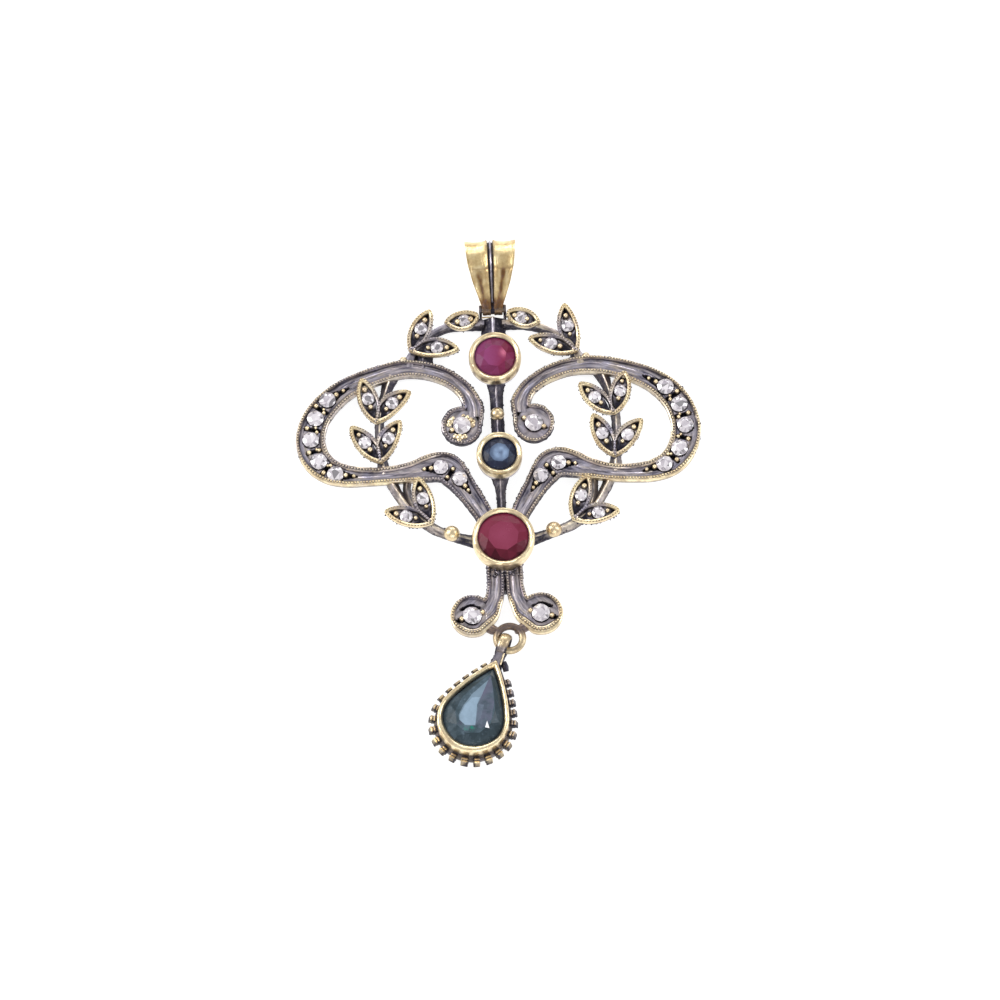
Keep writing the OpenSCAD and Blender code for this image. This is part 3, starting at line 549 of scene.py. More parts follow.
def channel_strip(shape, path, disc, disc_r, back, links, rim_tone):
    """Channelled strip with milgrained rims that ends in a disc."""
    disc = np.array(disc, float)
    rows = even(smooth(path, 24), FLOOR_STEP)
    line = walk(rows, disc, disc_r)
    way = heading(line)
    for _ in range(2):
        way = unit(np.vstack([way[:1], way[:-2] + way[1:-1] * 2 + way[2:], way[-1:]]))
    outward = perp(way)
    middle = len(line) // 2
    if np.dot(outward[middle], line[middle] - disc) < 0:
        outward = -outward
    top, under, base = STRIP_T, STRIP_T - FRONT_T, STRIP_T - CHANNEL_D
    # inset, height, part of the rim's gold, darkness, how much it follows the rim's darkness and the wall's
    section = np.array([
        [0.5, back, 0.5, 0.4, 0, 0], [OVERHANG, back + 0.05, 0.3, 0.6, 0, 0],
        [OVERHANG - 0.02, under - 0.06, 0.2, 0.85, 0, 0], [0.07, under + 0.03, 0.5, 0.7, 0.5, 1],
        [0.0, under + 0.14, 0.8, 0.3, 1, 1], [0.0, top - 0.22, 0.95, 0.1, 1, 1],
        [0.03, top - 0.1, 1, 0.0, 1, 0.6], [0.09, top - 0.04, 0.9, 0.0, 1, 0],
        [0.12, top - 0.07, 0.6, 0.4, 1, 0], [0.25, top - 0.07, 0.6, 0.4, 1, 0],
        [0.27, top - 0.07, 0.9, 0.05, 1, 0], [0.33, top - 0.17, 0.5, 0.15, 0.5, 0],
        [0.37, top - 0.27, 0.1, 0.65, 0, 0], [0.41, base - 0.03, 0.0, 0.85, 0, 0],
    ])
    inwards, height, rim_gold, rim_dark, of_rim, of_wall = section.T[:, None]
    gold, dark, wall, wide = (v[:, None] for v in rim_tone(*line.T, *outward.T))
    gold = np.clip(gold + 0.08 + 0.12 * shape.side, 0.03, 1)
    dark = dark * (1 - 0.3 * shape.side)
    inset = inwards * np.where(of_wall > 0, 1.0, wide)
    inset[:, :3] = section[:3, 0]
    ragged = wave(*line.T, 0.45, 3.0)[:, None] * (0.02 + 0.09 * wall)
    inset[:, 3:7] += ragged * [0.8, 1, 1, 0.6]
    x, y = (line.T - outward.T * inset.T[:, None]).transpose(1, 2, 0)
    z = height + 0.02 * wave(*line.T, 1.1, 5.0)[:, None] * (height > under)
    patch = 0.25 * wave(*line.T, 0.7, 15.0)[:, None]
    tone = rim_dark + (dark + patch) * of_rim + wall * of_wall
    index = np.arange(len(line))
    shape.grid(spread(x, y, z, gold * rim_gold, tone, 0, RIM_STEP * index[:, None], inwards))
    crumbs(shape, line, outward, wall[:, 0] * 0.75, top - 0.25, 0.12)
    # Milgrain
    grain = even(np.column_stack([line - outward * 0.185 * wide, index]), MILGRAIN)
    jitter = [[rng.uniform(-0.012, 0.012) for _ in range(2)] for _ in grain]
    places = np.column_stack([grain[:, :2] + jitter, np.full(len(grain), top - 0.01)])
    gold, dark = (np.interp(grain[:, 2], index, v[:, 0]) for v in (gold, dark))
    beads(shape, places, 0.115, gold + 0.1, dark * 0.3, low=0.6)
    # Floor of the channel, cut away round the stones
    left, right = edges(rows, FLOOR_IN)
    t = np.linspace(0, 1, 17)
    x, y = between(left, right, t)
    across = (t - 0.5) * np.linalg.norm(left - right, axis=1)[:, None]
    run = FLOOR_STEP * np.arange(len(rows))[:, None]
    deep = recess(x, y, links)
    drawn = wave(run * 0.35, across * 5.0, 1.0, 9.0)
    # A raised line runs a third of the way across
    crown = (1 - (2 * t - 1) ** 2) + bell(t, 0.38 + 0.12 * wave(run * 0.2, 0 * run, 1.0, 17.0), 0.07)
    inside = disc_r - FLOOR_IN - np.hypot(x - disc[0], y - disc[1])
    z = base + 0.05 * crown + 0.015 * drawn - 0.62 * deep - 0.5 * rise(0.4, 0.7, inside)
    dark = np.maximum(
        0.8 * rise(0.72, 1.0, np.abs(2 * t - 1) + 0.2 * drawn),
        0.45 * rise(0.25, 0.5, wave(run * 0.3, across * 4.0, 1.0, 21.0)),
    )
    # The cut-outs round the stones are painted near black in the floor: painted shade
    shape.grid(spread(x, y, z, 0.22 * rise(0.05, 0.4, drawn), np.maximum(dark, deep * 1.4), 0, run, across))
    # Floor of the disc
    r, a = np.linspace(0.02, disc_r - 0.36, 18)[:, None], circle(72)
    x, y = polar(r, a, *disc)
    deep = recess(x, y, links)
    drawn = wave(x * 1.3 + y, y * 2.6 - x, 1.0, 2.0)
    dark = np.maximum(
        0.4 * rise(disc_r - 0.6, disc_r - 0.36, r), 0.35 * rise(0.3, 0.5, wave(x + y, y * 3.0 - x, 1.0, 12.0))
    )
    z = base + 0.02 + 0.04 * drawn - 0.62 * deep
    # The disc's cut-outs are painted near black too: painted shade
    shape.grid(
        spread(x, y, z, 0.12, np.maximum(dark, deep * 1.4), 0, 0.3 * (x - y), 0.25 * (x + y)), wrap=True
    )
    # Flat back of both
    x, y = np.stack(edges(rows[::4], 0.48), 1).transpose(2, 0, 1)
    shape.grid(spread(x, y, back, 0.3, 0.35))
    r = np.array([[0.0], [0.5], [1.0]]) * (disc_r - 0.45)
    shape.grid(spread(*polar(r, a, *disc), back + 0.002, 0.3, 0.35), wrap=True)


def stone_places(side):
    """x, y and diameter of one side's strip stones by name, drawn on the right."""
    return {name: (x, y - side * lift / 2, d) for name, x, y, d, lift in STRIP_STONES}


def towards(a, b, distance):
    """The point at a distance from a on the way to b."""
    a, b = np.array(a[:2]), np.array(b[:2])
    return a + (b - a) / np.linalg.norm(b - a) * distance


def scroll_links(side):
    """Cut-outs round a scroll's stones, as tapered capsules."""
    s = stone_places(side)
    chain = [s[f"scroll_{i}"] for i in range(1, 6)]
    arm_1, arm_2, eye = s["arm_1"], s["arm_2"], s["eye"]
    links = [((x, y, d / 2 - 0.02),) * 2 for x, y, d in [*chain, arm_1, arm_2, eye]]
    for a, b in [*zip(chain, chain[1:]), (arm_1, arm_2)]:
        middle, across = (np.add(a[:2], b[:2])) / 2, perp(unit(np.subtract(b[:2], a[:2])))
        links.append(((*(middle + across * 0.72), 0.2), (*(middle - across * 0.6), 0.2)))
    for stone, tip in [
        (chain[0], (14.75, 7.1 + side * 0.05)), (chain[-1], (14.3, -2.78 - side * 0.3)),
        (arm_1, (7.75, -2.0)), (arm_2, (3.05, -4.75)), (eye, (2.45, 3.15)), (eye, (4.85, 1.95)),
    ]:
        links.append(((*towards(stone, tip, 0.5), 0.5), (*tip, 0.06)))
    return links


def scroll_tone(x, y, nx, ny):
    """Gold and darkness of a scroll's rims, darkness of its outer wall and width of the rim. The outer wall's
    darkness is painted shade along the outline.
    """
    worn = wave(x, y, 2.2, 1.0)
    loop_way = unit(np.stack([12.5 - x, 2.8 - y], -1)).T
    into_loop = rise(0.1, 0.6, loop_way[0] * nx + loop_way[1] * ny) * rise(2.0, 4.0, x)
    top_inner = rise(5.2, 6.5, y) * rise(0.1, 0.6, -ny) * rise(15.5, 13.5, x)
    lower_outer = rise(7.0, 9.0, x) * rise(0.3, 0.7, -ny) * rise(0.5, -1.0, y)
    right_outer = rise(0.2, 0.7, nx) * rise(16, 18, x)
    top_outer = rise(0.3, 0.8, ny) * rise(5.0, 7.0, y)
    eye = rise(6.2, 5.2, x) * rise(0.2, 0.6, y) * rise(5.4, 4.6, y)
    arm = rise(8.5, 7.5, x) * rise(-0.2, -1.0, y)
    gold = 0.34 + 0.3 * worn + 0.15 * top_inner + 0.6 * lower_outer + 0.3 * right_outer + 0.05 * into_loop
    gold = gold * (1 - 0.6 * eye) * (1 - 0.6 * arm)
    dark = 0.02 + 0.25 * np.clip(worn, 0, 1) + 0.05 * eye - 0.2 * lower_outer + 0.05 * top_outer
    wall = 0.75 * top_outer * rise(14, 12, x) + 0.8 * eye + 0.6 * arm + 0.15
    wall = np.clip(wall, 0, 0.9) * (1 - lower_outer)
    wide = 1 + 0.5 * into_loop * (1 - eye) + 0.5 * lower_outer + 0.15 * eye
    return np.clip(gold, 0.03, 1), np.clip(dark, 0, 0.6), wall, wide


def foot_tone(x, y, nx, ny):
    """The same for a foot."""
    worn = wave(x, y, 1.5, 4.0)
    disc = rise(-15.2, -16.8, y)
    gold = 0.06 + 0.75 * disc + 0.25 * worn * (0.3 + disc)
    dark = np.clip(0.22 - 0.3 * disc + 0.2 * worn, 0, 0.5)
    wide = 1 + 0.25 * disc + 1.1 * rise(0.2, 0.8, -ny) * disc
    return np.clip(gold, 0.03, 1), dark, 0.5 * (1 - disc), wide


def gold_grains(shape, side):
    """Gold grains that hold the diamonds of the strips."""
    s = stone_places(side)
    chain = [s[f"scroll_{i}"] for i in range(1, 6)]
    places = []
    for a, b in zip(chain, chain[1:]):
        a, b = np.array(a[:2]), np.array(b[:2])
        mid, way = (a + b) / 2, unit(b - a)
        out = -perp(way)
        out = out * np.sign(np.dot(out, mid - [13.0, 2.0]))
        # Distance beside the way, range back along it, size
        for off, low, high, size in (
            (0.62, -0.12, 0.12, 0.25), (-0.42, 0.0, -0.25, 0.2), (-0.22, 0.05, 0.3, 0.16),
        ):
            places.append((*(mid + out * off - way * rng.uniform(low, high)), size))
    ends = [
        (chain[0], (14.75, 7.1), (1.08, 1.9)), (chain[-1], (14.3, -2.78 - side * 0.3), (1.03, 1.85)),
        (s["arm_1"], (7.75, -2.0), (0.98, 1.65)), (s["arm_2"], (3.05, -4.75), (0.95, 1.5)),
        (s["eye"], (2.45, 3.2), (1.1,)), (s["eye"], (4.9, 1.95), (1.08,)),
        (s["foot"], (1.8, -17.35), (1.1,)), (s["foot"], (5.1, -18.3), (1.12,)),
    ]
    for stone, tip, distances in ends:
        for distance, size in zip(distances, (0.25, 0.19)):
            places.append((*towards(stone, tip, distance), size))
    a, b = np.array(s["arm_1"][:2]), np.array(s["arm_2"][:2])
    for off in (0.55, -0.5):
        places.append((*((a + b) / 2 + perp(unit(b - a)) * off), 0.22))
    p = [(x, y, STRIP_T - 0.17 + r * 0.1) for x, y, r in places]
    beads(shape, p, [r for *_, r in places], 0.95, low=1.3, sides=10)


def eye_patch(shape):
    """Small worn gold lumps round the left eye's stone."""
    lumps = [
        (0.25, -1.2, 0.4), (-0.25, -1.15, 0.3), (0.65, -1.1, 0.3), (0.3, -1.5, 0.22), (1.1, 0.5, 0.36),
        (1.3, 0.15, 0.25), (0.85, 0.85, 0.2), (-1.05, 0.1, 0.34), (-1.2, 0.4, 0.22), (-0.6, 0.9, 0.22),
        (-0.2, 1.1, 0.18),
    ]
    p = [(SCROLL_EYE[0] + dx, SCROLL_EYE[1] + dy, STRIP_T - 0.25) for dx, dy, _ in lumps]
    beads(shape, p, [r for *_, r in lumps], 0.9, low=0.5, sides=10, flat=0.5)


SIDES = ((-1, "left"), (1, "right"))
for side, word in SIDES:
    scroll = Shape(side)
    channel_strip(scroll, lifted(SCROLL_PATH, side), SCROLL_EYE, EYE_R, 0.0, scroll_links(side), scroll_tone)
    gold_grains(scroll, side)
    if side < 0:
        eye_patch(scroll)
    piece(scroll, f"scroll_{word}")
    foot = Shape(side)
    x, y, d = stone_places(side)["foot"]
    # Cut-outs round the foot's stone, where the floor is painted black as shade
    foot_cuts = [
        ((x, y, d / 2 + 0.02),) * 2,
        ((x - 0.75, y + 0.85, 0.1), (x + 0.1, y + 0.95, 0.34)),
        ((x + 0.1, y + 0.95, 0.34), (x + 1.1, y + 0.75, 0.1)),
        ((x + 1.0, y - 0.3, 0.3), (x + 1.6, y - 0.5, 0.12)),
    ]
    channel_strip(foot, lifted(FOOT_PATH, side), FOOT_DISC, FOOT_R, FOOT_BACK, foot_cuts, foot_tone)
    piece(foot, f"foot_{word}")

# ---------------------------------------------------------------- leaves


def leaf_point(row, t):
    """Point on a leaf's middle line."""
    span = np.array([row[2] - row[0], row[3] - row[1]])
    return np.array(row[:2]) + span * t + unit(perp(span)) * row[4] * 4 * t * (1 - t)


def leaf_outline(row, inset, steps):
    """Two bowed arcs from tip to foot and back, as in the part, the way along and the hand of each point."""
    span = np.array([row[2] - row[0], row[3] - row[1]])
    length = np.linalg.norm(span)
    along = span / length
    r = (length**2 + LEAF_W**2) / (4 * LEAF_W)
    low = r - LEAF_W / 2
    half = acos(low / (r - inset))
    px, py = polar(r - inset, pi / 2 + half * (1 - 2 * np.arange(steps + 1) / steps), length / 2, -low)
    px = np.concatenate([px, px[steps - 1 : 0 : -1]])
    py = np.concatenate([py, -py[steps - 1 : 0 : -1]])
    t = px / length
    bowed = py + row[4] * 4 * t * (1 - t)
    # Rounded tip
    px = px - 0.16 * rise(0.9, 1.0, t) * np.cos(py * 6)
    x = row[0] + along[0] * px - along[1] * bowed
    y = row[1] + along[1] * px + along[0] * bowed
    return np.stack([x, y], 1), t, np.sign(py)


LEAF_BACK = LEAF_TOP - LEAF_T
# inset, height, gold, dark
LEAF_SECTION = [
    (0.42, LEAF_BACK, 0.3, 0.7), (0.16, LEAF_BACK + 0.02, 0.3, 0.8), (0.05, LEAF_BACK + 0.16, 0.3, 0.7),
    (0.01, LEAF_TOP - 0.4, 0.5, 0.6), (0.0, LEAF_TOP - 0.24, 0.9, 0.1), (0.01, LEAF_TOP - 0.12, 1, 0.0),
    (0.05, LEAF_TOP - 0.05, 1, 0.0), (0.1, LEAF_TOP - 0.06, 0.85, 0.35), (0.2, LEAF_TOP - 0.06, 0.85, 0.35),
    (0.23, LEAF_TOP - 0.04, 1, 0.0), (0.36, LEAF_TOP - 0.08, 1, 0.0), (0.42, LEAF_TOP - 0.18, 0.6, 0.3),
    (0.46, LEAF_TOP - LEAF_D, 0.1, 0.9),
]


def leaf_gold(row, x, y, t, hand):
    """Part of the gold on a leaf's rim: worn on the outside, greyer against its neighbour."""
    outer = 0.8 + 0.25 * t
    gold = np.where(hand * row[5] > 0, 0.15 + 0.8 * rise(0.5, 0.95, t), outer) if row[5] else outer
    return np.clip(gold + 0.35 * wave(x, y, 1.3, 7.0), 0, 1)


def leaf(shape, row, steps=22):
    rows = []
    for i, (inset, z, g, d) in enumerate(LEAF_SECTION):
        ring, t, hand = leaf_outline(row, inset, steps)
        if inset > 0.22:
            ridge = (hand * row[5] > 0) * rise(0.55, 0.2, t) * rise(0.0, 0.1, t) * (inset - 0.1) * 0.35
            ring = ring + perp(heading(ring, closed=True)) * ridge[:, None]
        ragged = (0.06 if i < 4 else 0.012) * wave(*ring.T, 0.35, 8.0)
        dark = d + 0.25 * rise(0.16, 0.02, t) * (i > 5)
        rows.append(spread(*ring.T, z + ragged, g * leaf_gold(row, *ring.T, t, hand), dark, 0, t * 5, inset))
    shape.grid(rows, wrap=True)
    # Floor, deep beside the stone and dark at both ends
    ring, t, _ = leaf_outline(row, LEAF_SECTION[-1][0], steps)
    s = np.linspace(0, 1, 9)
    x, y = between(ring[: steps + 1], np.roll(ring[::-1], 1, 0)[: steps + 1], s)
    centre = leaf_point(row, LEAF_STONE_AT)
    away = np.hypot(x - centre[0], y - centre[1])
    beside = rise(1.35, 0.8, away + 0.25 * wave(x, y, 0.5, 41.0))
    z = LEAF_TOP - LEAF_D - 0.1 * (1 - (2 * s - 1) ** 2) - 0.25 * rise(0.74, 0.62, away) - 0.15 * (1 - beside)
    shape.grid(spread(x, y, z, 0, 0.95 - 0.6 * beside, 0, t[: steps + 1, None] * 5, s))
    back, *_ = leaf_outline(row, LEAF_SECTION[0][0], steps)
    shape.cap(spread(*back.T, LEAF_BACK, 0.2, 0.5))
    # Milgrain round the rim, and two grains on the long axis
    rim, *_ = leaf_outline(row, 0.0, 30)
    crumbs(shape, rim, unit(rim - leaf_point(row, 0.5)), [0.55] * len(rim), LEAF_TOP - 0.45)
    rim = even(np.column_stack(leaf_outline(row, 0.15, 60)), MILGRAIN, closed=True)
    places = np.column_stack([rim[:, :2], np.full(len(rim), LEAF_TOP - 0.02)])
    beads(shape, places, 0.11, leaf_gold(row, *rim.T), low=0.6)
    for off, size in ((0.19, 0.26), (-0.18, 0.27)):
        x, y = leaf_point(row, LEAF_STONE_AT + off)
        jitter = rng.uniform(-0.05, 0.05)
        beads(shape, [(x + jitter, y - jitter, LEAF_GIRDLE + 0.08)], size + jitter, 0.8, low=1.4, sides=10)


for side, word in SIDES:
    leaves = Shape(side)
    for row in LEAVES[side]:
        leaf(leaves, row)
    piece(leaves, f"leaves_{word}")

# ---------------------------------------------------------------- knife-edge bars


def knife(
    shape, path, height=BAR_H, back=0.15, shade=(0.45, 0.75), gold=0.12, ridge_gold=0.35, worn=1.0, flat=0.08,
    end=0.0,
):
    """Bar with a worn ridge and painted shade: the left face has the first shade and the right face the
    second, as light falls on them, and the foot is darker.
    """
    rows = even(smooth(path, 12), KNIFE_STEP)
    rows[:, :2] += 0.02 * np.column_stack([wave(*rows[:, :2].T, 0.5, seed) for seed in (2.0, 6.0)])
    line, half = rows[:, :2], rows[:, 2:3]
    left = perp(heading(line))
    shoulder = back + 0.45 * (height - back)
    slope, ridge = height - shoulder, (ridge_gold, 1.0 - worn)

    def face(tone, foot):
        """Part of the half width, height, gold and darkness, from the foot up to the ridge. The darkness is
        painted shade, deepest at the foot.
        """
        return [
            (0.55, back, gold, 0.85), (0.97, back + 0.06, gold, 0.9), (1.0, shoulder, gold, foot),
            (0.86, shoulder + 0.12, gold, tone), (0.6, shoulder + 0.4 * slope, gold, tone),
            (flat + 0.09, shoulder + (0.95 - flat) * slope, gold, tone), (flat, height - 0.05, *ridge),
        ]

    section = [(left, *p) for p in [*face(shade[0], shade[0] + 0.2), (0.0, height, *ridge)]]
    section += [(-left, *p) for p in face(shade[1], shade[1] + 0.15)[::-1]]
    run = np.arange(len(rows)) * KNIFE_STEP
    # Painted shade: darker towards the bar's last end, where it runs up to the next part
    shade_at_end = end * rise(2.6, 1.6, run[-1] - run)
    columns = []
    for k, (way, part, z, g, d) in enumerate(section):
        p = line + way * half * part
        rough = wave(*p.T, 0.4, 11.0 + k)
        p = p + way * (0.05 * rough * (part > 0.8))[:, None]
        streak = 0.3 * rise(0.1, 0.5, wave(*p.T, 0.8, 31.0 + k))
        dark = d + shade_at_end + 0.15 * rough - streak * (d < 0.85)
        columns.append(spread(*p.T, z + 0.03 * rough, g, dark, 0, run, k * 0.15))
    shape.tube(np.stack(columns, 1))
    for way, tone in ((left, shade[0]), (-left, shade[1])):
        crumbs(shape, line + way * half, way, [0.7 * tone] * len(rows), shoulder)


def ball(shape, x, y, z, r, gold=0.95, dark=0.0, squash=1.0, warm=0.0):
    a, b = circle(28), np.linspace(-pi / 2 + 0.02, pi / 2 - 0.02, 16)[:, None]
    lump = 1 + 0.03 * wave(np.cos(a) * np.cos(b) * 3 + x, np.sin(b) * 3 + y, 1.0, 5.0)
    px, py = polar(r * lump * np.cos(b), a)
    pz = r * lump * np.sin(b)
    # The lower half is painted darker: painted shade
    dark = dark + 0.7 * rise(0.2, -0.4, np.sin(b))
    shape.grid(spread(x + px, y + squash * py, z + pz, gold, dark, warm, a * r, b * r), wrap=True)


def wire(shape, points, radius, gold=0.9, dark=0.0, warm=0.0, sides=14, closed=False):
    """Round wire along points in space."""
    p = np.array(points, float)
    way = heading(p, closed)
    up = np.array([0.0, 0.0, 1.0])
    first = unit(np.cross(way, np.where(np.abs(way @ up)[:, None] > 0.95, [1.0, 0.0, 0.0], up)))
    second = np.cross(first, way)
    for i in range(1, len(p)):  # keeps the section from turning over along the wire
        second[i] = unit(second[i - 1] - way[i] * np.dot(second[i - 1], way[i]))
        first[i] = np.cross(way[i], second[i])
    a = circle(sides)
    radius, *tones = per_point(len(p), radius, gold, dark, warm)
    ring = first[:, None] * np.cos(a)[:, None] + second[:, None] * np.sin(a)[:, None]
    ring = np.moveaxis(p[:, None] + radius[..., None] * ring, -1, 0)
    data = spread(*ring, *tones, length_to(p)[:, None], a * 0.3)
    if closed:
        shape.grid(data, wrap=True, loop=True)
    else:
        shape.tube(data)


for side, word in SIDES:
    stems = Shape(side)
    top, inner, lower, short = (lifted(path, side) for path in (TOP_ARC, INNER_STEM, LOWER_ARC, SHORT_BRANCH))
    knife(stems, top, shade=(0.8, 0.3 - 0.1 * side), gold=0.1, ridge_gold=0.25 + 0.2 * side, flat=0.45)
    knife(stems, inner, shade=(0.65 - 0.1 * side, 0.85), gold=0.18 + 0.08 * side, ridge_gold=0.4, flat=0.15)
    knife(stems, lower, shade=(0.4, 0.7), gold=0.3, ridge_gold=0.5, flat=0.2, end=0.6)
    ball(stems, 9.15, 9.66 - side * 0.16, 1.15, 0.42, gold=0.75, dark=0.1)
    knife(stems, short, shade=(0.3, 0.6), gold=0.2)
    if side < 0:
        knife(stems, LEFT_BLOCK, shade=(0.9, 0.95), gold=0.0, ridge_gold=0.0, worn=0.2)
    ball(stems, *SIDE_BALL, warm=0.22)
    # Lug beside the bail's eye, and the wire under it, both painted dark as shade
    a, lug_out = circle(20), LUG_IN + LUG_W
    profile = [
        (LUG_IN, 0.02), (LUG_IN, LUG_R - 0.04), (LUG_IN + 0.05, LUG_R), (lug_out - 0.05, LUG_R),
        (lug_out, LUG_R - 0.04), (lug_out, 0.02),
    ]
    stems.grid([spread(x, *polar(r, a, PIN_Y, PIN_Z), 0.4, 0.75, 0.5, a, x) for x, r in profile], wrap=True)
    wire(stems, [(LUG_IN + 0.15, y, PIN_Z - 0.32) for y in (LUG_ROOT - 0.2, PIN_Y)], 0.14, 0.2, 0.8)
    # Solder between the jump ring and the foot
    solder = [(1.95, -19.1, 1.0), (1.5, -19.28, 1.05), (1.1, -19.5, 1.2), (0.8, -19.6, 1.3)]
    wire(stems, solder, [0.45, 0.52, 0.42, 0.34], 0.6, 0.6, 0.85)
    piece(stems, f"stems_{word}")

middle = Shape()
knife(middle, TOP_BLOCK, shade=(0.97, 0.94), gold=0.0, ridge_gold=0.05)
knife(middle, UPPER_BAR, shade=(0.85, 0.9), gold=0.0, ridge_gold=0.1, worn=0.7)
knife(middle, LOWER_BAR, shade=(0.8, 0.85), gold=0.05, ridge_gold=0.15, worn=0.75)
ball(middle, *MIDDLE_BALL, squash=0.95, warm=0.22)
# Solder crust where the feet meet under the lower ruby
crust_bar = [[0, -12.6, 0.5], [0, -13.6, 0.3], [0, -15.3, 0.16]]
knife(middle, crust_bar, 1.5, 0.2, shade=(0.9, 0.9), gold=0.0, ridge_gold=0.0, worn=0.3)
crust = [(rng.uniform(-1.6, 1.7), rng.uniform(-13.75, -12.9), rng.uniform(1.35, 1.55)) for _ in range(60)]
sizes, darkness = ([rng.uniform(*span) for _ in crust] for span in ((0.07, 0.16), (0.3, 0.9)))
beads(middle, crust, sizes, 0.0, darkness, sides=7)
# Solder at the bail's foot, the bar in its eye, and the jump ring, dark in its upper half
wire(middle, [(-1.15, 14.08, 1.2), (-0.6, 14.1, 1.22), (0.15, 14.08, 1.2)], 0.08, 1.0)
wire(middle, [(x, PIN_Y, PIN_Z) for x in (-LUG_IN - 0.15, 0, LUG_IN + 0.15)], PIN_D / 2, 0.7, 0.3)
turns = circle(72)
ring = np.column_stack([*polar(RING_R, turns, RING_X, RING_Y), np.full(72, RING_Z)])
upper = rise(0.05, 0.6, np.sin(turns))
wire(middle, ring, RING_WIRE_D / 2, 0.95 - 0.3 * upper, 0.3 + 0.35 * upper, 0.22 + 0.58 * upper, closed=True)
piece(middle, "middle_bars")

# ---------------------------------------------------------------- collets


def collet(shape, place, gold_from, scallops, seed):
    """Tapered cup with a thick rim. The wall is gold above gold_from, a part of its height, grey below."""
    along, d = place
    rs, h, girdle = d / 2, COLLET_H, COLLET_GIRDLE
    r = rs + COLLET_WALL
    # radius, height, gold, dark, warm; the rows down inside the lip are painted dark as the shade between the
    # lip and the stone
    section = [
        (rs * 0.72, 0.0, 0.3, 0.6, 0), (r * 0.74, 0.03, 0.3, 0.6, 0), (r * 0.81, h * 0.15, 1, 0.5, 0),
        (r * 0.9, h * 0.28, 1, 0.3, 0), (r * 0.97, h * 0.44, 1, 0.15, 0), (r - 0.03, h * 0.54, 1, 0.05, 0),
        (r - 0.01, h * 0.63, 1, 0, 0), (r, h * 0.72, 1, 0, 0), (r, h - 0.4, 1, 0, 0.05),
        (r - 0.03, h - 0.22, 1, 0, 0), (r - 0.13, h - 0.04, 1, 0, 0), (r - 0.24, h, 1, 0, 0),
        (r - 0.36, h - 0.04, 1, 0, 0), (rs + 0.03, h - 0.12, 1, 0.02, 0), (rs - 0.06, h - 0.2, 0.9, 0.3, 0.3),
        (rs - 0.1, girdle + 0.2, 0.4, 0.9, 0), (rs + 0.02, girdle + 0.1, 0.2, 0.95, 0),
        (rs + 0.03, girdle - 0.06, 0.2, 0.95, 0), (rs * 0.86, girdle - 0.42, 0.2, 0.9, 0),
        (rs * 0.72, 0.0, 0.3, 0.8, 0),
    ]
    a = circle(128)
    rows = []
    for i, (radius, z, gold, dark, warm) in enumerate(section):
        lump = wave(*polar(2.2, a), 1.0, seed + 0.2 * i)
        if 2 <= i <= 8:
            # The gold ends below in brown scallops
            above = z / h - gold_from
            arch = scallops * np.clip(1.8 * np.sin(a * 13 + seed * 3 + 1.5 * lump), 0, 1)
            arch = arch * rise(0, 0.1, above) * rise(0.34, 0.2, above)
            gold = gold * rise(-0.06, 0.06, above) + 0.05
            dark = dark + 0.55 * arch + 0.3 * np.clip(lump, 0, 1) * (z < gold_from * h)
            warm = warm + 0.9 * arch
        if 8 <= i <= 13:
            warm = warm + 0.3 * rise(0.1, 0.5, wave(*polar(1.5, a), 1.0, seed + 30)) * (1 - 0.08 * i)
        x, y = polar(radius + 0.03 * lump * (z > h * 0.4), a, 0.0, along)
        rows.append(spread(x, y, z + 0.02 * lump * (z > 0.5), gold, dark, warm, a * r, z))
    shape.grid(rows, wrap=True)


collets = Shape()
collet(collets, RUBY_TOP, 0.6, 1.0, 1.0)
collet(collets, SAPPHIRE, 0.62, 0.3, 4.0)
collet(collets, RUBY_MAIN, 0.4, 0.2, 8.0)
piece(collets, "collets")

# ---------------------------------------------------------------- bail


